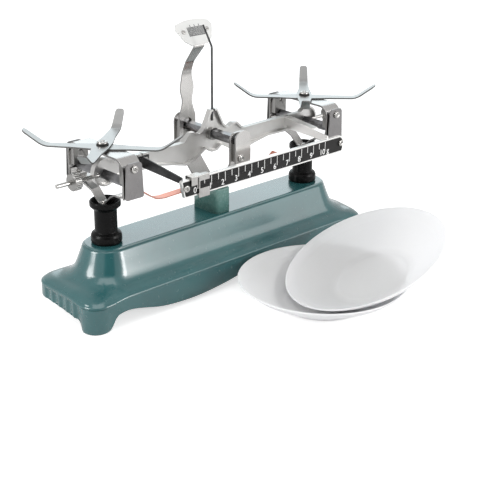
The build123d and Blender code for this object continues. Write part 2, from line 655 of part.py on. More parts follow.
yoke_metal = 1.4
yoke_side = hanger_reach - yoke_metal
yoke_drop = [(-hanger_reach, 8.4), (-hanger_reach, 0.6), (-20.0, -1.6), (-12.3, -5.8), (-3.4, -14.1)]
yoke_half = [(y, leg_foot_z + rise) for y, rise in yoke_drop]
yoke_path = yoke_half + [(-y, z) for y, z in reversed(yoke_half)]
yoke_edge = bent_strip(yoke_path, [3, 9, 8, 2, 2, 8, 9, 3], yoke_metal)
yoke_plan = outline([
    (-7.6, -hanger_reach), (7.6, -hanger_reach), (7.6, -27.0), (4.2, -11.6), (4.2, 11.6), (7.6, 27.0),
    (7.6, hanger_reach), (-7.6, hanger_reach), (-7.6, 27.0), (-4.2, 11.6), (-4.2, -11.6), (-7.6, -27.0),
])
yoke = across_x(yoke_edge, (-9, 9)) & extrude(Pos(0, 0, leg_foot_z - 22) * yoke_plan, amount=40)
yoke -= rod_y(1.3, 0, (-60, 60), rivet_z)
yoke_low = yoke.bounding_box().min.Z
yoke -= rod_z(1.6, 0, 0, (yoke_low - 1, yoke_low + 4))
yoke_rivet = rod_y(1.25, 0, (yoke_side, leg_out), rivet_z)
yoke_rivet += rod_y(1.9, 0, (yoke_side - 0.9, yoke_side), rivet_z)
yoke_rivet += rod_y(2.3, 0, (leg_out, leg_out + 0.9), rivet_z)

eye_low = lever_z - (fulcrum_height - end_knife_height)
stem = rod_z(stem_radius, 0, 0, (eye_low - 4.5, yoke_low))
stem += rod_z(1.55, 0, 0, (yoke_low, yoke_low + yoke_metal))
stem += rod_z(2.6, 0, 0, (yoke_low + yoke_metal, yoke_low + yoke_metal + 1.3))
stem -= block((-4, 4), (1.1, 4), (eye_low - 6, eye_low + 7))
stem -= block((-4, 4), (-4, -1.1), (eye_low - 6, eye_low + 7))
lever_pin_radius = 1.5
stem -= rod_y(lever_pin_radius + 0.35, 0, (-4, 4), eye_low)
cross_z = bridge_z + hanger_metal


def pan_strip(z):
    """A flat strip with both ends turned up, lying along X."""
    run = strip_length / 2 - cross_flat
    tip_z = z + run * tan(radians(cross_rise))
    path = [(-strip_length / 2, tip_z), (-cross_flat, z), (cross_flat, z), (strip_length / 2, tip_z)]
    edge = bent_strip(path, [16, 16], cross_metal)
    half = strip_length / 2 + 1
    plan = outline([(-half, -3.4), (-22, -4.7), (-9, -6.4), (9, -6.4), (22, -4.7), (half, -3.4),
                    (half, 3.4), (22, 4.7), (9, 6.4), (-9, 6.4), (-22, 4.7), (-half, 3.4)])
    ends = extrude(Pos(0, 0, z - 5) * (plan & Rectangle(strip_length - 0.2, 14)), amount=40)
    ends = fillet(ends.edges().filter_by(Axis.Z).group_by(Axis.X)[0], 3.2)
    ends = fillet(ends.edges().filter_by(Axis.Z).group_by(Axis.X)[-1], 3.2)
    strip = across_y(edge, (-8, 8)) & ends
    return strip - rod_z(2.15, 0, 0, (z - 1, z + 3))


cross_angle = {"left": 40.0, "right": 45.0}
washer_metal = 0.7
under_head = 2 * cross_metal + washer_metal
support_screw = Pos(0, 0, cross_z + under_head) * screw(2.05, 2.3, 4.0, under_head + 4.0)
support_washer = rod_z(4.8, 0, 0, (cross_z + 2 * cross_metal, cross_z + 2 * cross_metal + washer_metal))
support_washer -= rod_z(2.15, 0, 0, (cross_z, cross_z + 6))
for name, side in (("left", -1), ("right", 1)):
    place = Pos(side * arm, 0, 0)
    turn = Rot(0, 0, cross_angle[name])
    parts[name + "_hanger_bridge"] = place * bridge
    parts[name + "_hanger_bearings"] = [place * end_bearing, place * mirrored(end_bearing, Plane.XZ)]
    parts[name + "_hanger_covers"] = [place * hanger_cover, place * mirrored(hanger_cover, Plane.XZ)]
    parts[name + "_hanger_screws"] = [place * hanger_screw, place * mirrored(hanger_screw, Plane.XZ)]
    parts[name + "_hanger_yoke"] = place * yoke
    parts[name + "_yoke_rivets"] = [place * yoke_rivet, place * mirrored(yoke_rivet, Plane.XZ)]
    parts[name + "_stem"] = place * stem
    parts[name + "_lower_pan_strip"] = place * turn * Rot(0, 0, 90) * pan_strip(cross_z)
    parts[name + "_upper_pan_strip"] = place * turn * pan_strip(cross_z + cross_metal)
    parts[name + "_pan_washer"] = place * support_washer
    parts[name + "_pan_screw"] = place * support_screw

# Lower lever, its clevis under the ridge and its pins
lever_metal = 2.6
lever_y = (1.4, 1.4 + lever_metal)
lever = across_y(outline([
    (-arm, lever_z - 6.0), (arm, lever_z - 6.0), (arm, lever_z + 2.0),
    (12, lever_z + 5.0), (-12, lever_z + 5.0), (-arm, lever_z + 2.0),
]), lever_y)
for side in (-1, 1):
    lever += rod_y(4.6, side * arm, lever_y, eye_low)
    lever -= rod_y(lever_pin_radius, side * arm, (-9, 9), eye_low)
pivot_radius = 2.0
lever -= rod_y(pivot_radius + pin_fit, 0, (-9, 9), lever_z)
parts["lower_lever"] = lever
lever_pin = rod_y(lever_pin_radius, 0, (-2.4, lever_y[1] + 0.9), eye_low)
lever_pin += rod_y(2.3, 0, (-3.2, -2.0), eye_low)
parts["lever_end_pins"] = [Pos(side * arm, 0, 0) * lever_pin for side in (-1, 1)]
ear_gap = 0.3
ear_metal = 2.0
ear_y = (lever_y[0] - ear_gap, lever_y[1] + ear_gap)
bracket = block((-9, 9), (-15.2, 15.2), (ridge_under - bracket_metal, ridge_under))
for y in ((ear_y[0] - ear_metal, ear_y[0]), (ear_y[1], ear_y[1] + ear_metal)):
    bracket += block((-6, 6), y, (lever_z - 5, ridge_under - bracket_metal + 0.1))
for x, y in pillar_bolts:
    bracket -= rod_z(2.6, x, y, (ridge_under - 6, ridge_under + 1))
bracket -= rod_y(pivot_radius, 0, (-9, 9), lever_z)
parts["lever_bracket"] = bracket
pin_reach = ear_metal + 0.6
parts["lever_pivot_pin"] = rod_y(pivot_radius, 0, (ear_y[0] - pin_reach, ear_y[1] + pin_reach), lever_z)

# Pans, taken off the balance and stacked in front of it
pan_wall = 1.5
pan_bottom_radius = pan_diameter / 4
foot_ring_radius = pan_bottom_radius - 4.5


def pan():
    rim = pan_diameter / 2
    outer = [(0, 0), (pan_bottom_radius, 0), (rim - 7.5, pan_height - 6.2), (rim, pan_height)]
    path = FilletPolyline(*outer, radius=[16, 14])
    section = make_face(offset(path, amount=pan_wall, side=Side.LEFT, closed=True))
    shell = revolve(Plane.XZ * section, Axis.Z)
    groove = Cylinder(foot_ring_radius, 0.8) - Cylinder(foot_ring_radius - 2.0, 0.8)
    return shell - groove


lower_pan_at = (21.8, -(base_width + pan_diameter) / 2 - 2.2)
slide_turn = -24.0          # direction in which the upper pan leans on the lower one, from +X
upper_pan_out = pan_diameter * 0.3261       # foot of the upper pan from the middle of the lower one
upper_pan_lift = pan_diameter * 0.11123
upper_pan_tilt = 23.47
one_pan = pan()
parts["lower_pan"] = Pos(*lower_pan_at, 0) * one_pan
leaning = Rot(0, 0, slide_turn) * Pos(upper_pan_out, 0, upper_pan_lift) * Rot(0, -upper_pan_tilt, 0)
parts["upper_pan"] = Pos(*lower_pan_at, 0) * leaning * one_pan


os.makedirs("parts", exist_ok=True)
for name, shape in parts.items():
    if isinstance(shape, list):
        shape = Compound(children=[s if isinstance(s, Solid) else s.solid() for s in shape])
    export_step(shape, f"parts/{name}.step")
print(len(parts), "nodes written")
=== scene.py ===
from math import cos, pi, radians, sin, sqrt, tan

import bmesh
import bpy
from bpy.props import FloatProperty, FloatVectorProperty, IntProperty, PointerProperty
from bpy.types import Operator, Panel, PropertyGroup
from mathutils import Matrix, Vector


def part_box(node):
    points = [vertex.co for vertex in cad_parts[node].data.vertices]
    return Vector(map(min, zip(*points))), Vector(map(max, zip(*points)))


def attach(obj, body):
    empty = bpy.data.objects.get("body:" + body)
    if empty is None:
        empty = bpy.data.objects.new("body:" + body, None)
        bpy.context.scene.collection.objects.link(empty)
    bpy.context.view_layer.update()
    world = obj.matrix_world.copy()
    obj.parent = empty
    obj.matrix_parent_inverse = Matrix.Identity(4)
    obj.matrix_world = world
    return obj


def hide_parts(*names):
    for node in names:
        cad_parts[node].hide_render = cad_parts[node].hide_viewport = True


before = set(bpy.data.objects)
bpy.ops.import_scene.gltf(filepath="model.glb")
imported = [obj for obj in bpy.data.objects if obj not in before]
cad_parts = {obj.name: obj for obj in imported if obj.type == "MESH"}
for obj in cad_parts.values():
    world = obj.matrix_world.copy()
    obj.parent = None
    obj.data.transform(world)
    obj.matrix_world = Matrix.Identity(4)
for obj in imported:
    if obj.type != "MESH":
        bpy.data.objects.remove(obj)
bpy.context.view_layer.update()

# Looks of a table balance with an enamelled base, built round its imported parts. Metres, +X along the
# beam, -Y the side with the rider bar, +Z up.

bl_info = {
    "name": "Table balance looks",
    "version": (1, 0, 0),
    "blender": (4, 5, 0),
    "location": "3D View > Sidebar > Balance",
    "description": "Finishes and fine shapes for a two-pan table balance",
    "category": "Object",
}

MM = 0.001


def linear(code):
    """Linear red, green and blue of an sRGB hex colour."""
    values = [int(code[i:i + 2], 16) / 255 for i in (1, 3, 5)]
    return tuple(v / 12.92 if v <= 0.04045 else ((v + 0.055) / 1.055) ** 2.4 for v in values)


def shade(name, description, code):
    return FloatVectorProperty(name=name, description=description, subtype="COLOR", size=3, min=0, max=1,
                               default=linear(code))


def length(name, description, millimetres):
    return FloatProperty(name=name, description=description, default=millimetres * MM, min=0, unit="LENGTH",
                         subtype="DISTANCE", precision=5)


class BalanceSizes(PropertyGroup):
    sheet_edge: length("Sheet edge", "Rounding on the edges of the sheet metal pieces", 0.22)
    block_edge: length("Block edge", "Rounding on the edges of ground and turned pieces", 0.3)
    bar_edge: length("Bar edge", "Rounding on the edges of the rider bar, which catch the light", 0.4)
    bead: length("Crease bead", "Height of the bead along the crease of the base", 0.45)
    top_edge: length("Ridge edge", "Rounding along the top edge of the ridge", 0.9)
    lip: length("Pan lip", "Rounding of the lip of a pan", 0.6)
    number_height: length("Number height", "Height of the numbers on the rider scale", 4.7)
    tick_width: length("Tick width", "Width of a mark on the rider scale", 0.5)
    gram_tick: length("Gram mark", "Length of a whole-gram mark", 7.6)
    half_tick: length("Half mark", "Length of a half-gram mark", 4.9)
    perimeter_steps: IntProperty(name="Outline steps", description="Steps along a long side of the base",
                                 default=150, min=20, max=400)


class BalanceColours(PropertyGroup):
    teal: shade("Teal enamel", "Main colour of the base", "#2C6163")
    teal_deep: shade("Deep teal", "Where the enamel lies thicker", "#27575A")
    pillar: shade("Pillar enamel", "Colour of the pillar", "#5F8780")
    black: shade("Black enamel", "Colour of the two posts", "#070707")
    nickel: shade("Nickel", "Plated sheet", "#C9C7C5")
    beam_grey: shade("Beam grey", "Satin metal of the beam", "#CFCECC")
    bar: shade("Rider bar", "Bright plating of the rider bar", "#F2F1EF")
    zinc: shade("Zinc", "Cover plates of the bearings", "#8C8A8A")
    dark_steel: shade("Dark steel", "Hardened knives and the left rider arm", "#8D8D8F")
    steel: shade("Steel", "Bearing blocks, nuts, collar and lever", "#9A9997")
    screw: shade("Screw plating", "Bright plated fasteners", "#C2C0BD")
    copper: shade("Copper", "Strip below the beam", "#D8907C")
    strip: shade("Carrier arms", "Pale satin metal of the pan carriers", "#B4B4B3")
    # Painted shade: besides the sheared edges, this grey darkens every face of the sheet that points along a
    # chosen axis, standing in for shade
    cut_edge: shade("Cut edge", "Sheared edges of the sheet metal", "#807F7E")
    plate_white: shade("White lacquer", "Index plate and printed marks", "#E6E6E4")
    ink: shade("Ink", "Marks on the index plate", "#5E5F60")
    scale_black: shade("Black scale", "Face of the rider scale", "#151414")
    fibre: shade("Black fibre", "Washers below the carrier screws", "#101010")
    pan: shade("Opal plastic", "The two pans", "#F0F0F2")


def sizes():
    return bpy.context.scene.balance_sizes


def colours():
    return bpy.context.scene.balance_colours


# Materials

def add(tree, kind, inputs=None, **settings):
    """Adds a node with its settings, and fills its inputs with values or joins them to sockets."""
    made = tree.nodes.new(kind)
    for key, value in settings.items():
        setattr(made, key, value)
    for key, value in (inputs or {}).items():
        if isinstance(value, bpy.types.NodeSocket):
            tree.links.new(value, made.inputs[key])
        else:
            made.inputs[key].default_value = value
    return made


MIX_FIRST, MIX_SECOND, MIX_RESULT = 6, 7, 2     # the colour sockets of a Mix node
# Noise of a finish: its detail and roughness, and the part of its values that is spread from end to end
PATCH_NOISE, PATCH_RANGE = (3.0, 0.55), (0.36, 0.64)
GRAIN_NOISE, GRAIN_RANGE = (4.0, 0.6), (0.3, 0.7)
CUT_AND_SHADE_SHARE = 0.85            # how far a sheared edge, and each face given painted shade, takes its own colour and roughness
CUT_ROUGHNESS = 0.5
PRINT_WHITE, PRINT_WORN = (0.93, 0.93, 0.92), (0.88, 0.88, 0.87)


def mixed(tree, share, first, second):
    """A colour between two, by a share from zero to one."""
    mix = add(tree, "ShaderNodeMix", {"Factor": share, MIX_FIRST: first, MIX_SECOND: second},
              data_type="RGBA")
    return mix.outputs[MIX_RESULT]


def noise(tree, where, scale, detail, roughness):
    made = add(tree, "ShaderNodeTexNoise", {"Vector": where, "Scale": scale, "Detail": detail,
                                            "Roughness": roughness})
    return made.outputs["Fac"]


def ranged(tree, value, reach, low=0.0, high=1.0):
    """A value whose reach is made to run from low to high."""
    made = add(tree, "ShaderNodeMapRange", {"Value": value, "From Min": reach[0], "From Max": reach[1],
                                            "To Min": low, "To Max": high})
    return made.outputs["Result"]


def finish_for(name, tones, patch, grain, roughness, depth, metallic=0.0, cut=None, **shader):
    """A surface with two close tones in patches, and a grain that moves its roughness and its height.

    patch is the size of a patch and grain the size of the grain along X, Y and Z, in millimetres.
    depth is the height of the grain in millimetres. cut darkens every face that points along an axis: the
    sheet's sheared edges, and with them painted shade on the faces turned that way. It holds their colour,
    the axis, and how far along it a face points where the darkening starts and where it is full.
    """
    material = bpy.data.materials.new(name)
    material.use_nodes = True
    tree = material.node_tree
    surface = tree.nodes["Principled BSDF"]
    place = add(tree, "ShaderNodeTexCoord")
    where = place.outputs["Object"]
    patches = noise(tree, where, 1 / (patch * MM), *PATCH_NOISE)
    tone = mixed(tree, ranged(tree, patches, PATCH_RANGE), (*tones[0], 1), (*tones[1], 1))
    stretch = add(tree, "ShaderNodeMapping", {"Vector": where, "Scale": [1 / (g * MM) for g in grain]})
    lines = noise(tree, stretch.outputs["Vector"], 1.0, *GRAIN_NOISE)
    rough = ranged(tree, lines, GRAIN_RANGE, *roughness)
    height = add(tree, "ShaderNodeBump", {"Height": lines, "Distance": depth * MM, "Strength": 1.0})
    if cut:
        colour, axis, begins, full = cut
        # Painted shade: faces that point along the axis are mixed toward the darker colour, the sheared edges
        # among them
        facing = add(tree, "ShaderNodeSeparateXYZ", {0: place.outputs["Normal"]})
        across = add(tree, "ShaderNodeMath", {0: facing.outputs[axis]}, operation="ABSOLUTE")
        on_cut_and_shade = ranged(tree, across.outputs[0], (begins, full), 0.0, CUT_AND_SHADE_SHARE)
        tone = mixed(tree, on_cut_and_shade, tone, (*colour, 1))
        rough = add(tree, "ShaderNodeMix", {"Factor": on_cut_and_shade, "A": rough, "B": CUT_ROUGHNESS}).outputs[0]
    for key, value in (("Base Color", tone), ("Roughness", rough), ("Normal", height.outputs["Normal"])):
        tree.links.new(value, surface.inputs[key])
    surface.inputs["Metallic"].default_value = metallic
    for key, value in shader.items():
        surface.inputs[key.replace("_", " ")].default_value = value
    return material


def tinted(colour, factor):
    """The colour made lighter or darker, at most white."""
    return tuple(min(1.0, c * factor) for c in colour)


def metal(name, colour, patch, grain, roughness, depth, spread=0.93, cut=None):
    """Bare or plated metal: the second tone is the same metal, a little duller."""
    return finish_for(name, (tuple(colour), tinted(colour, spread)), patch, grain, roughness, depth, 1.0, cut)


def make_materials():
    c = colours()
    # Painted shade: the grey of the sheared edges, also laid on faces that point along an axis
    edge_and_shade_grey = tuple(c.cut_edge)
    return {
        # Stove enamel sprayed on cast iron: deep wet gloss with the faintest orange peel, drawn at 4 mm
        "enamel": finish_for("stove_enamel_teal", (tuple(c.teal), tuple(c.teal_deep)), 45, (4, 4, 4),
                             (0.22, 0.28), 0.001, Coat_Weight=0.9, Coat_Roughness=0.14, Coat_IOR=1.5),
        # The same enamel on the pillar: thinner, so greyer
        "pillar": finish_for("stove_enamel_pillar", (tuple(c.pillar), tinted(c.pillar, 0.96)), 40, (4, 4, 4),
                             (0.24, 0.30), 0.001, Coat_Weight=0.6, Coat_Roughness=0.12, Coat_IOR=1.5),
        # Black enamel on turned steel, baked half dull: near black with broad soft highlights
        "black": finish_for("stove_enamel_black", (tuple(c.black), tinted(c.black, 1.6)), 9, (1.4, 1.4, 0.7),
                            (0.24, 0.32), 0.002, Specular_IOR_Level=0.14),
        # Nickel plate over rolled steel sheet: fine rolling lines at 0.8 mm, coarser than the real ones;
        # every face that points along X, the sheared edges among them, is darkened with painted shade
        "nickel": metal("nickel_plated_sheet", c.nickel, 18, (0.8, 20, 20), (0.20, 0.28), 0.0005,
                        cut=(edge_and_shade_grey, "X", 0.62, 0.9)),
        # Zinc plate left unpolished on the small covers: mid grey with a soft sheen
        "cover": metal("zinc_plated_cover", c.zinc, 10, (0.8, 12, 12), (0.26, 0.34), 0.0005),
        # Nickel plate dulled by handling on the rider bar: even and pale along its edges
        "nickel_long": metal("nickel_plated_bar", c.bar, 18, (20, 0.8, 0.8), (0.34, 0.42), 0.0006, 0.97),
        # Pressed steel with a satin plate: soft grey without a mirror
        "beam": metal("satin_plated_pressing", c.beam_grey, 26, (14, 1.2, 1.2), (0.28, 0.36), 0.0008, 0.9),
        # Hardened steel, ground along its length: darker grey with pale grinding lines
        "knife": metal("ground_hardened_steel", c.dark_steel, 6, (0.9, 16, 0.9), (0.24, 0.36), 0.003, 0.7),
        # Oil-blacked steel strip: dark with a soft sheen
        "dark": metal("oil_blacked_steel", tinted(c.dark_steel, 0.3), 6, (0.9, 16, 0.9), (0.30, 0.42), 0.003,
                      0.7),
        # Milled mild steel: even dull grey
        "steel": metal("milled_steel", c.steel, 6, (4, 0.8, 0.8), (0.28, 0.38), 0.003),
        # Bright nickel on turned screws: crisp small glints
        "screw": metal("bright_plated_screw", c.screw, 3, (0.8, 0.8, 0.8), (0.20, 0.28), 0.001, 0.88),
        # Cold-rolled copper: warm pink with faint brown bloom
        "copper": metal("cold_rolled_copper", c.copper, 9, (14, 0.6, 0.6), (0.24, 0.34), 0.003, 0.82),
        # Aluminium strip, tumbled: pale and silky, its sheared edge dull; every face that points neither up
        # nor down, the edges and the turned-up ends, carries painted shade in a darker grey
        "strip": metal("tumbled_aluminium", c.strip, 20, (1.2, 1.2, 1.2), (0.30, 0.38), 0.001, 0.95,
                       cut=(tinted(c.cut_edge, 0.5), "Z", 0.7, 0.35)),
        # White lacquer on aluminium: clean, slightly soft gloss
        "white": finish_for("white_lacquer", (tuple(c.plate_white), tinted(c.plate_white, 0.96)), 12,
                            (1.5, 1.5, 1.5), (0.30, 0.38), 0.002),
        # Screen ink on the scale and on the index plate: thin, dull and even
        "print": finish_for("white_print", (PRINT_WHITE, PRINT_WORN), 4, (0.5, 0.5, 0.5), (0.40, 0.50),
                            0.001),
        "ink": finish_for("printed_ink", (tuple(c.ink), tinted(c.ink, 0.8)), 2, (0.5, 0.5, 0.5), (0.45, 0.55),
                          0.001),
        # Black enamelled scale, baked: dense black with a dull sheen
        "scale": finish_for("black_enamelled_scale", (tuple(c.scale_black), tinted(c.scale_black, 1.4)), 14,
                            (2.0, 0.6, 0.6), (0.32, 0.42), 0.001, Specular_IOR_Level=0.3),
        # Vulcanised fibre, punched: black and dull
        "fibre": finish_for("vulcanised_fibre", (tuple(c.fibre), tinted(c.fibre, 1.6)), 3, (0.4, 0.4, 0.4),
                            (0.5, 0.65), 0.02),
        # Opal polypropylene, injection moulded: milky, with light passing into the wall
        "pan": finish_for("moulded_opal_polypropylene", (tuple(c.pan), tinted(c.pan, 0.985)), 60, (9, 9, 9),
                          (0.44, 0.52), 0.002, Subsurface_Weight=0.7,
                          Subsurface_Radius=(9 * MM, 9 * MM, 9.5 * MM), Subsurface_Scale=1.0, IOR=1.49,
                          Specular_IOR_Level=0.2),
    }


materials = {}


def material(name):
    if not materials:
        materials.update(make_materials())
    return materials[name]


# Shapes

CRISP = 38      # degrees: edges sharper than this stay crisp
WELD = 2e-6     # metres


def linked(name, data):
    """A new object in the scene."""
    thing = bpy.data.objects.new(name, data)
    bpy.context.scene.collection.objects.link(thing)
    return thing


def meshed(name, made):
    """The mesh of a bmesh, which is then freed."""
    mesh = bpy.data.meshes.new(name)
    made.to_mesh(mesh)
    made.free()
    return mesh


def smooth(mesh, angle=CRISP):
    """Smooth shading with the edges sharper than the angle left crisp."""
    mesh.polygons.foreach_set("use_smooth", [True] * len(mesh.polygons))
    mesh.set_sharp_from_angle(angle=radians(angle))


def place_piece(name, mesh, finish, body, slot, *nodes):
    """Puts a new piece on its body, with its finish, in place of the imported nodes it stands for."""
    mesh.materials.clear()
    mesh.materials.append(material(finish))
    piece = linked(name, mesh)
    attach(piece, body)
    if nodes:
        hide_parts(*nodes)
    return piece


def dress(name, finish, edge):
    """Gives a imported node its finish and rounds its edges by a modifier."""
    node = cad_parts.get(name)
    if node is None:
        raise RuntimeError(f"the frame has no node named {name}")
    normals = node.data.attributes.get("custom_normal")
    if normals:
        node.data.attributes.remove(normals)
    for slot in node.material_slots:
        slot.material = material(finish)
    smooth(node.data)
    weld = node.modifiers.new("Weld", "WELD")
    weld.merge_threshold = WELD
    if edge > 0:
        rounding = node.modifiers.new("Edges", "BEVEL")
        rounding.width = edge
        rounding.segments = 2
        rounding.limit_method = "ANGLE"
        rounding.angle_limit = radians(CRISP)
        rounding.harden_normals = True
    return node


def rounded(points, radii, steps=6):
    """A chain of points with its corners replaced by arcs. A radius of zero keeps the corner."""
    chain = [Vector(p) for p in points]
    out = [chain[0]]
    for before, corner, after, radius in zip(chain, chain[1:], chain[2:], radii):
        a, b = (before - corner).normalized(), (after - corner).normalized()
        if radius <= 0:
            out.append(corner)
            continue
        half = a.angle(b) / 2
        reach = min(radius / tan(half), 0.49 * min((before - corner).length, (after - corner).length))
        radius = reach * tan(half)
        centre = corner + (a + b).normalized() * (radius / sin(half))
        start, end = corner + a * reach - centre, corner + b * reach - centre
        sweep = start.angle_signed(end)
        for i in range(steps + 1):
            turn = -sweep * i / steps
            out.append(centre + Vector((start.x * cos(turn) - start.y * sin(turn),
                                        start.x * sin(turn) + start.y * cos(turn))))
    out.append(chain[-1])
    return out


def lathe(name, outline, steps=96):
    """A turned piece about Z from a closed outline of radius and height."""
    made = bmesh.new()
    turns = [2 * pi * i / steps for i in range(steps)]
    rings = []
    for radius, height in outline:
        if radius < 1e-7:
            rings.append([made.verts.new((0, 0, height))])
        else:
            rings.append([made.verts.new((radius * cos(turn), radius * sin(turn), height)) for turn in turns])
    for low, high in zip(rings, rings[1:] + rings[:1]):
        for i in range(steps):
            j = (i + 1) % steps
            corners = [low[i % len(low)], low[j % len(low)], high[j % len(high)], high[i % len(high)]]
            unique = list(dict.fromkeys(corners))
            if len(unique) > 2:
                made.faces.new(unique)
    bmesh.ops.recalc_face_normals(made, faces=made.faces)
    mesh = meshed(name, made)
    smooth(mesh)
    return mesh


def skin(made, rings):
    """Joins rings of points from one end to the other by faces, and closes both ends."""
    loops = [[made.verts.new(p) for p in ring] for ring in rings]
    count = len(loops[0])
    for a, b in zip(loops, loops[1:]):
        for i in range(count):
            j = (i + 1) % count
            made.faces.new((a[i], a[j], b[j], b[i]))
    made.faces.new(loops[-1])
    made.faces.new(list(reversed(loops[0])))


# Base casting, in millimetres from the middle of the base on the table
HALF_LENGTH, HALF_WIDTH = 154.0, 39.0
WALL = 4.0
FLANGE = 24.0                       # height of the crease
CORNER = 14.0                       # plan radius of the flange
CORNER_STEPS = 12
INSET_SHARE = 0.6                   # of an inset, what comes off a plan radius
RIDGE_HALF = (129.0, 19.6)          # half length and half width of the ridge
RIDGE_TOP = 56.4
RIDGE_SIDE_TOP = RIDGE_TOP - 1.8
RIDGE_STEP = 1.3                    # from the ridge's side to the edge of its top
NOSE = 25.0                         # plan radius of the ridge's ends
NOSE_HEIGHTS = (26.0, 34.0)         # over which the one radius grows into the other
NOSE_FLAT = 0.7                     # least straight length at the nose
BASE_CRISP = 42                     # degrees
# Up the cove: how far in from the flange or out from the ridge, along X and Y, and how far above the crease
COVE_LOW = ((0.2, 0.3, 0.5), (2.2, 1.8, 2.4), (5.5, 5.0, 4.4), (11.0, 8.6, 6.4))
COVE_HIGH = ((10.6, 8.2, 9.2), (7.4, 6.0, 13.2), (4.8, 4.1, 18.4), (2.4, 2.1, 24.4))
COVE_STEPS = 5                      # rings from one of these to the next
COVE_FROM = 3                       # the first ring outside, above the bead
CREASE_LIFT, CREASE_DIP = 0.6, 2.2
DIP_X, DIP_Y = (118.0, 139.0), (-24.0, -6.0)        # where the crease dips over a front foot
FOLLOW = (FLANGE + 1.5, FLANGE + 8.0)               # heights over which the cove leaves the crease's dips
# Skirt: the insets and rises of its rings
INSIDE_RISES = (0.9, 0.5, 0.1)
EDGE_RINGS = ((WALL - 0.3, 0.03), (WALL - 1.0, 0.0), (1.0, 0.0), (0.35, 0.02), (0.0, 0.07))
OUTSIDE_RISES = (0.2, 0.35, 0.5, 0.62, 0.72, 0.8, 0.86, 0.91, 0.96, 1.0)
# Lower edge of the skirt: along each half of a long side, and across each end from front to back
ARCH = [(0.0, 8.6), (18.0, 5.6), (44.6, 3.2), (65.6, 3.4), (86.6, 5.6), (110.6, 11.6), (120.6, 13.0),
        (129.1, 11.6), (132.6, 8.0)]
END_GAP = [(-19.2, 8.0), (0.0, 10.4), (20.0, 12.0), (39.0, 13.0)]
FRONT_Y = -30.0                                     # the front side's edge lies in front of this
FALL_X, FALL_Y = (129.6, 134.4), (-23.5, -18.6)     # where the edge goes down to a front foot
LAST_X, LAST_HEIGHT = 133.0, 8.0                    # from where the edge is level
GAP_X, GAP_Y = (112.0, 124.0), (-20.5, -17.2)       # where the end's gap begins
END_FROM = 100.0                                    # what lies beyond this along X is an end
# Feet
FRONT_FOOT = (142.6, 27.2)
FRONT_FOOT_TOP = (141.2, 26.2)                      # where a front foot meets the skirt
REAR_FOOT = (116.0, 25.5)
FOOT_RADIUS = 10.9
FOOT_TOP = FLANGE - 3.0
# Flare and height up a foot
FOOT_PROFILE = ((-1.2, 0.0), (-0.4, 0.3), (0.0, 1.1), (0.5, 6.0), (1.2, 13.0), (2.2, FOOT_TOP))
DRAW_X, DRAW_Y = (126.0, 136.0), (-21.0, -14.0)     # where the skirt draws in to a front foot
DRAW_HEIGHTS = (-4.0, FOOT_TOP)
FOOT_COVER = 0.4                                    # how far the skirt stands outside the foot
FLUTE_RADIUS, FLUTE_DEPTH, FLUTE_PITCH, FIRST_FLUTE, FLUTES = 5.5, 1.2, 9.6, -18.0, 5
FLUTE_FADE = (20.5, 23.0)                           # heights over which a flute runs out


def catmull(points, steps):
    """Points along a smooth curve through the given ones."""
    pts = [Vector(p) for p in points]
    pts = [pts[0] * 2 - pts[1]] + pts + [pts[-1] * 2 - pts[-2]]
    out = []
    for a, b, c, d in zip(pts, pts[1:], pts[2:], pts[3:]):
        for i in range(steps):
            t = i / steps
            out.append(0.5 * (2 * b + (c - a) * t + (2 * a - 5 * b + 4 * c - d) * t * t
                              + (3 * b - a - 3 * c + d) * t ** 3))
    out.append(pts[-2])
    return out


def along(table, x):
    """Height at x on a smooth line through the table."""
    if x <= table[0][0]:
        return table[0][1]
    for k, (a, b) in enumerate(zip(table, table[1:])):
        if x <= b[0]:
            before = table[max(k - 1, 0)]
            after = table[min(k + 2, len(table) - 1)]
            t = (x - a[0]) / (b[0] - a[0])
            slope_a = (b[1] - before[1]) / (b[0] - before[0]) * (b[0] - a[0])
            slope_b = (after[1] - a[1]) / (after[0] - a[0]) * (b[0] - a[0])
            return ((2 * t ** 3 - 3 * t ** 2 + 1) * a[1] + (t ** 3 - 2 * t ** 2 + t) * slope_a
                    + (3 * t ** 2 - 2 * t ** 3) * b[1] + (t ** 3 - t ** 2) * slope_b)
    return table[-1][1]


def ramp(x, low, high):
    """Zero up to low, one from high on, and smooth between them."""
    t = min(1.0, max(0.0, (x - low) / (high - low)))
    return t * t * (3 - 2 * t)


def stations(long_steps):
    """Places round the outline: the side or corner, and how far along it."""
    short_steps = long_steps // 2
    out = []
    for side in range(4):
        steps = long_steps if side % 2 == 0 else short_steps
        out += [("side", side, 2 * i / steps - 1) for i in range(steps)]
        out += [("corner", side, i / CORNER_STEPS) for i in range(CORNER_STEPS)]
    return out


def outline_point(station, half_length, half_width, corner):
    """The point of a station on a rounded rectangle."""
    kind, side, t = station
    turn = side * pi / 2
    reach = (half_length, half_width) if side % 2 == 0 else (half_width, half_length)
    if kind == "side":
        x, y = t * (reach[0] - corner), -reach[1]
    else:
        angle = -pi / 2 + t * pi / 2
        x = reach[0] - corner + corner * cos(angle)
        y = -reach[1] + corner + corner * sin(angle)
    return Vector((x * cos(turn) - y * sin(turn), x * sin(turn) + y * cos(turn)))


def skirt_foot(x, y):
    """Height of the lower edge of the skirt above the table."""
    ax = abs(x)
    arch = along(ARCH, ax)
    gap = along(END_GAP, y)
    if y < END_GAP[0][0]:
        fall = ramp(ax, *FALL_X) if y < FRONT_Y else 1 - ramp(y, *FALL_Y)
        return (arch if ax < LAST_X else LAST_HEIGHT) * (1 - fall)
    low = arch + (gap - arch) * ramp(ax, *GAP_X)
    return low * ramp(y, *GAP_Y) if ax > END_FROM else low


def corner_share(x, y):
    """One in the front corners, where the skirt draws in to the foot, and zero elsewhere."""
    return ramp(abs(x), *DRAW_X) * (1 - ramp(y, *DRAW_Y))


def crease_lift(x, y):
    """How far the crease stands over its usual height: it dips a little over each front foot."""
    return CREASE_LIFT - CREASE_DIP * ramp(abs(x), *DIP_X) * (1 - ramp(y, *DIP_Y))


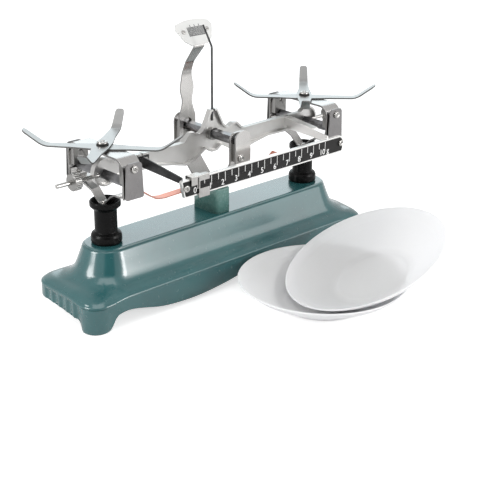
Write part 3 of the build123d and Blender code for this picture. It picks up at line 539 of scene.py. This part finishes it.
def skirt_ring(marks, inset, rise, z_top):
    """One ring of the skirt. rise runs from 0 at the skirt's lower edge to 1 at z_top."""
    out = []
    for mark in marks:
        p = outline_point(mark, HALF_LENGTH - inset, HALF_WIDTH - inset, CORNER - inset * INSET_SHARE)
        outer = outline_point(mark, HALF_LENGTH, HALF_WIDTH, CORNER)
        low = skirt_foot(outer.x, outer.y)
        top = z_top + crease_lift(outer.x, outer.y)
        z = low + (top - low) * rise
        share = corner_share(outer.x, outer.y)
        if share > 0:
            centre = Vector((FRONT_FOOT[0] * (1 if p.x > 0 else -1), -FRONT_FOOT[1]))
            away = p - centre
            if away.length > 0:
                on_foot = centre + away.normalized() * (FOOT_RADIUS + FOOT_COVER - inset)
                draw_in = share * (1 - ramp(z, *DRAW_HEIGHTS))
                p = p.lerp(on_foot, draw_in)
        if mark[0] == "side" and mark[1] % 2 == 1 and z < FLUTE_FADE[1]:
            fade = 1 - ramp(z, *FLUTE_FADE)
            for i in range(FLUTES):
                dy = p.y - (FIRST_FLUTE + i * FLUTE_PITCH)
                if abs(dy) < FLUTE_RADIUS:
                    cut = sqrt(FLUTE_RADIUS ** 2 - dy ** 2) - (FLUTE_RADIUS - FLUTE_DEPTH)
                    if cut > 0 and inset < 1:
                        p.x -= (1 if p.x > 0 else -1) * cut * fade
        out.append((p.x * MM, p.y * MM, z * MM))
    return out


def nose_corner(half_width, z, inset=0.0):
    """Plan radius at a height: the flange's corner grows into the round nose of the ridge."""
    radius = CORNER + (NOSE - CORNER) * ramp(z, *NOSE_HEIGHTS)
    return min(radius - inset * INSET_SHARE, half_width - inset - NOSE_FLAT)


def plan_ring(marks, half_length, half_width, z, inset=0.0, corner=None):
    """One ring of the cove or the ridge. Near the crease it follows the crease's dips."""
    out = []
    radius = nose_corner(half_width, z, inset) if corner is None else corner
    follow = 1 - ramp(z, *FOLLOW)
    for mark in marks:
        p = outline_point(mark, half_length - inset, half_width - inset, radius)
        lift = crease_lift(p.x, p.y) * follow
        out.append((p.x * MM, p.y * MM, (z + lift) * MM))
    return out


def base_profile():
    """Half length, half width and height up the cove, from the flange to the top of the ridge."""
    low = [(HALF_LENGTH - x, HALF_WIDTH - y, FLANGE + z) for x, y, z in COVE_LOW]
    high = [(RIDGE_HALF[0] + x, RIDGE_HALF[1] + y, FLANGE + z) for x, y, z in COVE_HIGH]
    return low + high + [(*RIDGE_HALF, RIDGE_SIDE_TOP)]


def base_mesh():
    """The casting as one skin: down the inside, round the skirt's edge, and up the outside to the top."""
    bead, top_edge = sizes().bead / MM, sizes().top_edge / MM
    marks = stations(sizes().perimeter_steps)
    cove = [tuple(p) for p in catmull(base_profile(), COVE_STEPS)]
    rings = []
    for half_length, half_width, z in reversed(cove):
        rings.append(plan_ring(marks, half_length, half_width, z - WALL, WALL))
    for rise in INSIDE_RISES:
        rings.append(skirt_ring(marks, WALL, rise, FLANGE - WALL))
    skirt_top = FLANGE - 1.6
    for inset, rise in EDGE_RINGS:
        rings.append(skirt_ring(marks, inset, rise, skirt_top))
    for rise in OUTSIDE_RISES:
        rings.append(skirt_ring(marks, 0.0, rise, skirt_top))
    bead_steps = ((bead * 0.8, 0.0, -0.8), (bead, -0.1, -0.3), (bead * 0.9, -0.25, 0.1),
                  (bead * 0.3, -0.55, 0.6), (-0.2, -0.9, 0.9), (-0.6, -1.4, 1.4))
    for out, out_at_end, z in bead_steps:
        rings.append(plan_ring(marks, HALF_LENGTH + out_at_end, HALF_WIDTH + out, FLANGE + z, corner=CORNER))
    for half_length, half_width, z in cove[COVE_FROM:]:
        rings.append(plan_ring(marks, half_length, half_width, z))
    edge_steps = ((0.35, -1.6), (0.9, -1.75), (RIDGE_STEP, -1.5), (RIDGE_STEP + 0.05, -top_edge),
                  (RIDGE_STEP + top_edge * 0.3, -top_edge * 0.3), (RIDGE_STEP + top_edge, 0.0),
                  (RIDGE_STEP + top_edge + 1.5, 0.0))
    for inset, z in edge_steps:
        rings.append(plan_ring(marks, *RIDGE_HALF, RIDGE_TOP + z, inset))
    made = bmesh.new()
    skin(made, rings)
    bmesh.ops.recalc_face_normals(made, faces=made.faces)
    for side in (-1, 1):
        add_foot(made, side * FRONT_FOOT[0], -FRONT_FOOT[1], side * FRONT_FOOT_TOP[0], -FRONT_FOOT_TOP[1])
        add_foot(made, side * REAR_FOOT[0], REAR_FOOT[1], side * REAR_FOOT[0], REAR_FOOT[1])
    mesh = meshed("base_casting_enamelled", made)
    smooth(mesh, BASE_CRISP)
    return mesh


def add_foot(made, x, y, top_x, top_y, steps=48):
    """A stubby round foot with a worn edge at the table."""
    turns = [2 * pi * i / steps for i in range(steps)]
    rings = []
    for flare, z in FOOT_PROFILE:
        radius, share = FOOT_RADIUS + flare, z / FOOT_TOP
        cx, cy = x + (top_x - x) * share, y + (top_y - y) * share
        rings.append([((cx + radius * cos(turn)) * MM, (cy + radius * sin(turn)) * MM, z * MM)
                      for turn in turns])
    skin(made, rings)


# Pans, in millimetres: half section as radius and height
PAN_WALL = 1.5
PAN_SECTION = [(0, 0), (34.5, 0), (61.5, 15.4), (69.0, 21.6)]
PAN_BENDS = [16, 14]
PAN_STEPS = 160
FOOT_RING = 29.0        # radius of the shallow groove under the pan, which leaves a foot to stand on
UPPER_PAN_TURN, UPPER_PAN_LEAN = -24.0, -23.47      # degrees
UPPER_PAN_SHIFT, UPPER_PAN_RISE = 45.0, 15.35       # from the lower pan
LOWER_PAN = Matrix.Translation((21.8 * MM, -110.2 * MM, 0))
PAN_PLACES = {
    "lower_pan": LOWER_PAN,
    "upper_pan": LOWER_PAN @ Matrix.Rotation(radians(UPPER_PAN_TURN), 4, "Z")
    @ Matrix.Translation((UPPER_PAN_SHIFT * MM, 0, UPPER_PAN_RISE * MM))
    @ Matrix.Rotation(radians(UPPER_PAN_LEAN), 4, "Y"),
}


def pan_mesh(name):
    """A pan in its place: the wall, the lip and the ring that it stands on."""
    outer = rounded(PAN_SECTION, PAN_BENDS, 14)
    inner = []
    for k, p in enumerate(outer):
        a, b = outer[max(k - 1, 0)], outer[min(k + 1, len(outer) - 1)]
        run = (b - a).normalized()
        inner.append(p + Vector((-run.y, run.x)) * PAN_WALL)
    lip = rounded([outer[-2], outer[-1], inner[-1], inner[-2]], [sizes().lip / MM] * 2, 5)[1:-1]
    groove = [(-1.4, 0.0), (-1.0, 0.1), (-0.8, 0.4), (0.8, 0.4), (1.0, 0.1), (1.4, 0.0)]
    under = [Vector((0, 0.0))] + [Vector((FOOT_RING + x, z)) for x, z in groove]
    swell = [(1.4, 0.0), (1.0, 0.06), (0.0, 0.1), (-1.0, 0.06), (-1.4, 0.0)]
    inside_ring = [Vector((FOOT_RING + x, PAN_WALL + z)) for x, z in swell] + [Vector((0, inner[0].y))]
    past_ring = FOOT_RING + 2.0
    outer = under + [p for p in outer if p.x > past_ring]
    section = outer[:-1] + lip + [p for p in reversed(inner[:-1]) if p.x > past_ring] + inside_ring
    mesh = lathe(name, [(p.x * MM, p.y * MM) for p in section], PAN_STEPS)
    mesh.transform(PAN_PLACES[name.replace("_moulded", "")])
    return mesh


# Posts, in millimetres
POST_X = 110.0
POST_HEIGHT, POST_BORE, POST_TUBE, POST_COLLAR, COLLAR_HEIGHT = 34.7, 7.2, 9.0, 12.3, 8.6
SPIGOT = 9.4                            # radius of the part that goes through the ridge
NUT_HEIGHT, PAST_NUT = 4.5, 1.0
SPIGOT_FOOT = RIDGE_SIDE_TOP - WALL - NUT_HEIGHT - PAST_NUT
MOUTH_DEPTH = 6.5


def post_mesh(name, x):
    """A post, from the foot of its spigot up to its open mouth."""
    top = RIDGE_TOP + POST_HEIGHT
    foot_collar = RIDGE_TOP + COLLAR_HEIGHT
    head_collar = top - COLLAR_HEIGHT + 1.2
    corners = [
        (POST_BORE, SPIGOT_FOOT), (SPIGOT, SPIGOT_FOOT), (SPIGOT, RIDGE_TOP), (POST_COLLAR - 0.6, RIDGE_TOP),
        (POST_COLLAR, RIDGE_TOP + 1.4), (POST_COLLAR, foot_collar - 2.6),
        (POST_COLLAR - 0.9, foot_collar - 0.7), (POST_TUBE, foot_collar + 0.6), (POST_TUBE, head_collar),
        (POST_COLLAR, head_collar + 3.2), (POST_COLLAR, top - 0.7), (POST_COLLAR - 0.5, top),
        (POST_COLLAR - 1.0, top), (POST_BORE, top - MOUTH_DEPTH),
    ]
    radii = [0.2, 0, 0.4, 0.8, 1.2, 0.8, 1.0, 1.2, 0.8, 0.4, 0.3, 0.4]
    mesh = lathe(name, [(p.x * MM, p.y * MM) for p in rounded(corners, radii, 4)])
    mesh.transform(Matrix.Translation((x * MM, 0, 0)))
    return mesh


def bars_mesh(made, boxes, place=Matrix()):
    """Adds thin printed bars, given as low and high corners."""
    for low, high in boxes:
        size = [h - l for l, h in zip(low, high)]
        middle = [(h + l) / 2 for l, h in zip(low, high)]
        shape = place @ Matrix.Translation(middle) @ Matrix.Diagonal((*size, 1.0))
        bmesh.ops.create_cube(made, size=1.0, matrix=shape)


CAPITAL = 0.72      # height of a number as a share of its font size
STROKE = 0.012      # how much wider a number's strokes are drawn, as a share of its height


def letter_mesh(text, height, thick):
    """A number or a unit as a thin mesh about its own middle, standing on the XZ plane and facing -Y."""
    curve = bpy.data.curves.new("number", "FONT")
    curve.body = text
    curve.align_x, curve.align_y = "CENTER", "CENTER"
    curve.size = height / CAPITAL
    curve.extrude = thick
    curve.offset = height * STROKE
    holder = bpy.data.objects.new("number", curve)
    mesh = bpy.data.meshes.new_from_object(holder)
    bpy.data.objects.remove(holder)
    mesh.transform(Matrix.Rotation(pi / 2, 4, "X"))
    return mesh


# Rider scale, in millimetres
SCALE_ZERO, GRAM, GRAMS = -62.9, 14.19, 10      # place of the zero, run of a gram, and how many there are
PRINT = 0.06                    # how far the print stands out
SUNK = 0.02                     # how far it runs in, so that no gap shows
MARK_TOP = 0.35                 # from the top of the face to the marks
NUMBER_LEFT = {1: 1.2, 10: 3.2}         # from a mark to the middle of its number
NUMBER_LEFT_USUAL = 2.6
NUMBER_RISE, UNIT_RISE = 3.3, 3.6       # from the foot of the face to the middle of a number and of the unit
UNIT_AT = 10.25                 # grams


def rider_print_mesh():
    """The marks, the numbers and the unit of the rider scale."""
    s = sizes()
    low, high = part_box("rider_scale_face")
    front, top = low.y, high.z - MARK_TOP * MM
    made = bmesh.new()
    boxes = []
    for half in range(2 * GRAMS + 1):
        x = (SCALE_ZERO + half * GRAM / 2) * MM
        run = s.gram_tick if half % 2 == 0 else s.half_tick
        boxes.append(((x - s.tick_width / 2, front - PRINT * MM, top - run),
                      (x + s.tick_width / 2, front + SUNK * MM, top)))
    bars_mesh(made, boxes)
    words = [(str(value), SCALE_ZERO + value * GRAM - NUMBER_LEFT.get(value, NUMBER_LEFT_USUAL), NUMBER_RISE)
             for value in range(GRAMS + 1)]
    words.append(("g", SCALE_ZERO + UNIT_AT * GRAM, UNIT_RISE))
    for text, x, rise in words:
        word = letter_mesh(text, s.number_height, PRINT * MM)
        word.transform(Matrix.Translation((x * MM, front, low.z + rise * MM)))
        made.from_mesh(word)
    return meshed("rider_scale_print", made)


# Index print, in millimetres on the plate's own face, and where that face is
INDEX_LEAN = 33.0               # degrees back from upright
INDEX_PLACE = (Matrix.Translation((0, 12.5 * MM, 194.5 * MM))
               @ Matrix.Rotation(radians(90.0 - INDEX_LEAN), 4, "X"))
INDEX_MIDDLE, INDEX_PITCH, INDEX_HALF_WIDTH = 1.0, 0.92, 0.3
INDEX_MARKS, INDEX_LONG_EVERY = 9, 5            # marks on each side of the middle one
INDEX_FOOT, INDEX_SHORT, INDEX_LONG = 7.8, 15.4, 17.2
INDEX_LINE = (8.6, 7.6, 8.0)                    # half length, low and high edge of the line below the marks


def index_print_mesh():
    """Fine marks on the leaning index plate, drawn flat on it and leaned back with it."""
    made = bmesh.new()
    boxes = []
    for i in range(-INDEX_MARKS, INDEX_MARKS + 1):
        u = INDEX_MIDDLE + i * INDEX_PITCH
        tall = INDEX_LONG if i % INDEX_LONG_EVERY == 0 else INDEX_SHORT
        boxes.append(((u - INDEX_HALF_WIDTH, INDEX_FOOT, -SUNK), (u + INDEX_HALF_WIDTH, tall, PRINT)))
    half, low_edge, high_edge = INDEX_LINE
    boxes.append(((INDEX_MIDDLE - half, low_edge, -SUNK), (INDEX_MIDDLE + half, high_edge, PRINT)))
    bars_mesh(made, [([v * MM for v in low], [v * MM for v in high]) for low, high in boxes], INDEX_PLACE)
    return meshed("index_print", made)


# Roundings smaller than those in the panel, in metres
THIN_EDGE, FINE_EDGE, SMALL_EDGE, STRIP_EDGE = 0.1 * MM, 0.12 * MM, 0.15 * MM, 0.18 * MM

# Operators: one for each piece or group of like pieces, and one for the stage

class BALANCE_OT_base(Operator):
    """Builds the enamelled base casting with its bead, flutes, arches and feet"""
    bl_idname = "balance.base"
    bl_label = "Base casting"

    def execute(self, context):
        place_piece("base_casting_enamelled", base_mesh(), "enamel", "base", "teal_enamel", "base_casting")
        return {"FINISHED"}


class BALANCE_OT_posts(Operator):
    """Turns the two black posts"""
    bl_idname = "balance.posts"
    bl_label = "Posts"

    def execute(self, context):
        for side, x in (("left", -POST_X), ("right", POST_X)):
            name = side + "_post_turned"
            place_piece(name, post_mesh(name, x), "black", "base", "black_finish", side + "_post")
        dress("post_ring_nuts", "steel", sizes().sheet_edge)
        return {"FINISHED"}


class BALANCE_OT_pillar(Operator):
    """Finishes the pillar and the bolts that hold it"""
    bl_idname = "balance.pillar"
    bl_label = "Pillar"

    def execute(self, context):
        dress("central_pillar", "pillar", 0)
        dress("pillar_bolts", "screw", 0)
        return {"FINISHED"}


class BALANCE_OT_fulcrum(Operator):
    """Finishes the fork with its bearings, covers and screws, the index strip and the copper strip"""
    bl_idname = "balance.fulcrum"
    bl_label = "Fork and index strip"

    def execute(self, context):
        edge = sizes().sheet_edge
        for name in ("fulcrum_fork", "fulcrum_covers", "index_strip"):
            dress(name, "nickel", edge)
        dress("fulcrum_bearings", "steel", sizes().block_edge)
        for name in ("fulcrum_cover_screws", "index_screws", "copper_strip_screws"):
            dress(name, "screw", 0)
        dress("copper_strip", "copper", FINE_EDGE)
        return {"FINISHED"}


class BALANCE_OT_index(Operator):
    """Finishes the index plate and prints its marks"""
    bl_idname = "balance.index"
    bl_label = "Index plate"

    def execute(self, context):
        dress("index_plate", "white", sizes().sheet_edge)
        place_piece("index_print", index_print_mesh(), "ink", "base", "scale_black")
        return {"FINISHED"}


class BALANCE_OT_beam(Operator):
    """Finishes the beam, its knives, pointer and balance screws"""
    bl_idname = "balance.beam"
    bl_label = "Beam"

    def execute(self, context):
        dress("beam_plate", "beam", sizes().sheet_edge)
        for name in ("centre_knife", "left_end_knife", "right_end_knife"):
            dress(name, "knife", SMALL_EDGE)
        dress("centre_knife_collar", "steel", sizes().sheet_edge)
        dress("pointer", "dark", SMALL_EDGE)
        for side in ("left", "right"):
            dress(side + "_balance_screw", "screw", sizes().block_edge)
            dress(side + "_balance_nut", "steel", FINE_EDGE)
        return {"FINISHED"}


class BALANCE_OT_rider_bar(Operator):
    """Finishes the rider bar and its arms, prints the scale and finishes the rider"""
    bl_idname = "balance.rider_bar"
    bl_label = "Rider bar"

    def execute(self, context):
        edge = sizes().sheet_edge
        dress("rider_bar", "nickel_long", sizes().bar_edge)
        dress("rider_scale_face", "scale", THIN_EDGE)
        place_piece("rider_scale_print", rider_print_mesh(), "print", "beam", "white_plate")
        dress("left_rider_arm", "dark", edge)
        dress("right_rider_arm", "nickel_long", edge)
        for name in ("rider_bar_screws", "rider_arm_rivets"):
            dress(name, "screw", 0)
        dress("rider", "screw", sizes().block_edge)
        return {"FINISHED"}


class BALANCE_OT_carriers(Operator):
    """Finishes the two carriers with their arms, screws and stems"""
    bl_idname = "balance.carriers"
    bl_label = "Pan carriers"

    def execute(self, context):
        edge = sizes().sheet_edge
        for side in ("left", "right"):
            for word in ("hanger_bridge", "hanger_yoke"):
                dress(f"{side}_{word}", "nickel", edge)
            dress(side + "_hanger_covers", "cover", edge)
            dress(side + "_hanger_bearings", "steel", sizes().block_edge)
            for word in ("hanger_screws", "yoke_rivets", "stem", "pan_screw"):
                dress(f"{side}_{word}", "screw", 0)
            for word in ("lower_pan_strip", "upper_pan_strip"):
                dress(f"{side}_{word}", "strip", STRIP_EDGE)
            dress(side + "_pan_washer", "fibre", THIN_EDGE)
        return {"FINISHED"}


class BALANCE_OT_lever(Operator):
    """Finishes the lever in the base with its bracket and pins"""
    bl_idname = "balance.lever"
    bl_label = "Lower lever"

    def execute(self, context):
        for name in ("lower_lever", "lever_bracket"):
            dress(name, "steel", sizes().sheet_edge)
        for name in ("lever_pivot_pin", "lever_end_pins"):
            dress(name, "screw", SMALL_EDGE)
        return {"FINISHED"}


class BALANCE_OT_pans(Operator):
    """Moulds the two pans"""
    bl_idname = "balance.pans"
    bl_label = "Pans"

    def execute(self, context):
        for name in ("lower_pan", "upper_pan"):
            made = name + "_moulded"
            place_piece(made, pan_mesh(made), "pan", name, "pan_white", name)
        return {"FINISHED"}


# Soft lamps: name, place, the point it faces and size in metres, watts and colour
LAMPS = (
    ("left_strip", (-1.08, 0.22, 0.55), (-0.11, -0.01, 0.05), (0.46, 0.60), 8.0, (1, 1, 1)),
    ("front_strip", (0.40, -0.98, 0.34), (-0.05, -0.03, 0.05), (0.20, 0.34), 3.1, (1, 1, 1)),
    ("front_panel", (0.78, -1.00, 0.40), (0, 0, 0.05), (0.9, 0.75), 4.2, (1, 1, 1)),
    ("top_softbox", (-0.30, -0.35, 1.15), (0, 0, 0.05), (0.9, 0.9), 4.0, (1, 1, 1)),
    ("rear_panel", (0.85, 0.95, 0.62), (0, 0, 0.05), (1.2, 0.8), 3.2, (0.80, 0.94, 1.0)),
)
CARD_PLACE, CARD_WIDTH, CARD_TONE = Vector((-0.68, -1.08, 0.45)), 0.9, 0.02
FLOOR_HALF, FLOOR_DROP, FLOOR_TONE = 6.0, 0.0002, 0.80
FLOOR_SEEN, FLOOR_IN_METAL = 0.64, 0.12             # light the floor adds in the picture and in reflections
SURROUND_LIGHT, SURROUND_SEEN = 0.40, 1.0           # strength of the surround as light and in the picture
SURROUND_IN_METAL = 0.5                             # how far reflections see it as the picture does


def lamp(name, place, target, size, watts, colour):
    """A soft rectangular lamp, turned to face a point."""
    data = bpy.data.lights.new(name, "AREA")
    data.shape = "RECTANGLE"
    data.size, data.size_y = size
    data.energy = watts
    data.color = colour
    holder = linked(name, data)
    holder.location = place
    holder.rotation_euler = (Vector(target) - Vector(place)).to_track_quat("-Z", "Y").to_euler()


def dark_card():
    """A black card that only reflections see, standing beside the camera."""
    made = bmesh.new()
    bmesh.ops.create_grid(made, x_segments=1, y_segments=1, size=0.5)
    card = linked("dark_card", meshed("dark_card", made))
    turn = (Vector((0, 0, CARD_PLACE.z)) - CARD_PLACE).to_track_quat("Z", "Y").to_matrix().to_4x4()
    width = Matrix.Diagonal((CARD_WIDTH, CARD_WIDTH, 1.0, 1.0))
    card.matrix_world = Matrix.Translation(CARD_PLACE) @ turn @ width
    black = bpy.data.materials.new("black_card")
    black.use_nodes = True
    tree = black.node_tree
    tree.nodes.clear()
    flat = add(tree, "ShaderNodeBsdfDiffuse", {"Color": (CARD_TONE, CARD_TONE, CARD_TONE, 1)})
    add(tree, "ShaderNodeOutputMaterial", {"Surface": flat.outputs[0]})
    card.data.materials.append(black)
    card.visible_camera = card.visible_diffuse = card.visible_transmission = card.visible_shadow = False


def rays(tree):
    """Switches for rays seen in the picture, straight or through something clear, and for reflections."""
    path = add(tree, "ShaderNodeLightPath")
    seen = add(tree, "ShaderNodeMath", {0: path.outputs["Is Camera Ray"],
                                        1: path.outputs["Is Transmission Ray"]}, operation="MAXIMUM")
    return seen.outputs[0], path.outputs["Is Glossy Ray"]


def floor_finish():
    """Pale matt floor, lifted in the picture so that it reads as white and keeps its shadow."""
    white = bpy.data.materials.new("pale_floor")
    white.use_nodes = True
    tree = white.node_tree
    tree.nodes.clear()
    seen, glossy = rays(tree)
    plain = add(tree, "ShaderNodeBsdfDiffuse", {"Color": (FLOOR_TONE, FLOOR_TONE, FLOOR_TONE, 1)})
    in_metal = add(tree, "ShaderNodeMath", {0: glossy, 1: FLOOR_IN_METAL}, operation="MULTIPLY")
    lift = add(tree, "ShaderNodeMath", {0: seen, 1: FLOOR_SEEN, 2: in_metal.outputs[0]},
               operation="MULTIPLY_ADD")
    glow = add(tree, "ShaderNodeEmission", {"Color": (1, 1, 1, 1), "Strength": lift.outputs[0]})
    both = add(tree, "ShaderNodeAddShader", {0: plain.outputs[0], 1: glow.outputs[0]})
    add(tree, "ShaderNodeOutputMaterial", {"Surface": both.outputs[0]})
    return white


def white_surround():
    """Soft white light from all round, which the camera sees as white."""
    world = bpy.data.worlds.new("studio")
    world.use_nodes = True
    tree = world.node_tree
    tree.nodes.clear()
    seen, glossy = rays(tree)
    in_metal = add(tree, "ShaderNodeMath", {0: glossy, 1: SURROUND_IN_METAL}, operation="MULTIPLY")
    shown = add(tree, "ShaderNodeMath", {0: seen, 1: in_metal.outputs[0]}, operation="MAXIMUM")
    strength = ranged(tree, shown.outputs[0], (0.0, 1.0), SURROUND_LIGHT, SURROUND_SEEN)
    around = add(tree, "ShaderNodeBackground", {"Color": (1, 1, 1, 1), "Strength": strength})
    add(tree, "ShaderNodeOutputWorld", {"Surface": around.outputs[0]})
    return world


# Camera of the photograph: its place in metres and the directions of its picture
CAMERA_PLACE = Vector((-0.57841, -0.65551, 0.38658))
CAMERA_FORWARD = Vector((0.6309, 0.6762, -0.3805))
CAMERA_RIGHT = Vector((0.7326, -0.6807, 0.0050))
CAMERA_FOCAL, PICTURE = 1099.7, 480     # focal length and width of the picture in pixels
SENSOR = 36.0                           # millimetres


def photo_camera():
    """The camera that took the photograph."""
    data = bpy.data.cameras.new("camera")
    data.sensor_width = SENSOR
    data.lens = CAMERA_FOCAL / PICTURE * SENSOR
    data.clip_start, data.clip_end = 0.01, 50
    holder = linked("camera", data)
    forward = CAMERA_FORWARD.normalized()
    right = (CAMERA_RIGHT - forward * CAMERA_RIGHT.dot(forward)).normalized()
    up = right.cross(forward)
    turn = Matrix((right, up, -forward)).transposed()
    holder.matrix_world = Matrix.Translation(CAMERA_PLACE) @ turn.to_4x4()
    return holder


class BALANCE_OT_stage(Operator):
    """Sets up the pale floor, the soft lamps, the white surround and the camera"""
    bl_idname = "balance.stage"
    bl_label = "Stage"

    def execute(self, context):
        scene = context.scene
        scene.view_settings.view_transform = "Standard"
        made = bmesh.new()
        bmesh.ops.create_grid(made, x_segments=8, y_segments=8, size=FLOOR_HALF)
        floor = linked("floor", meshed("floor", made))
        floor.location.z = -FLOOR_DROP
        floor.data.materials.append(floor_finish())
        scene.world = white_surround()
        for row in LAMPS:
            lamp(*row)
        dark_card()
        scene.camera = photo_camera()
        return {"FINISHED"}


OPERATORS = (
    BALANCE_OT_stage, BALANCE_OT_base, BALANCE_OT_posts, BALANCE_OT_pillar, BALANCE_OT_fulcrum,
    BALANCE_OT_index, BALANCE_OT_beam, BALANCE_OT_rider_bar, BALANCE_OT_carriers, BALANCE_OT_lever,
    BALANCE_OT_pans,
)


class BALANCE_PT_panel(Panel):
    """Lists the sizes, the colours and the pieces"""
    bl_idname = "BALANCE_PT_panel"
    bl_label = "Table balance"
    bl_space_type = "VIEW_3D"
    bl_region_type = "UI"
    bl_category = "Balance"

    def draw(self, context):
        column = self.layout.column(align=True)
        for group in (context.scene.balance_sizes, context.scene.balance_colours):
            for key in group.__annotations__:
                column.prop(group, key)
        for operator in OPERATORS:
            column.operator(operator.bl_idname)


CLASSES = (BalanceSizes, BalanceColours, *OPERATORS, BALANCE_PT_panel)


def register():
    for kind in CLASSES:
        bpy.utils.register_class(kind)
    bpy.types.Scene.balance_sizes = PointerProperty(type=BalanceSizes)
    bpy.types.Scene.balance_colours = PointerProperty(type=BalanceColours)


def unregister():
    del bpy.types.Scene.balance_colours
    del bpy.types.Scene.balance_sizes
    for kind in reversed(CLASSES):
        bpy.utils.unregister_class(kind)


def main():
    register()
    for operator in OPERATORS:
        group, word = operator.bl_idname.split(".")
        getattr(getattr(bpy.ops, group), word)()


if __name__ == "__main__":
    main()
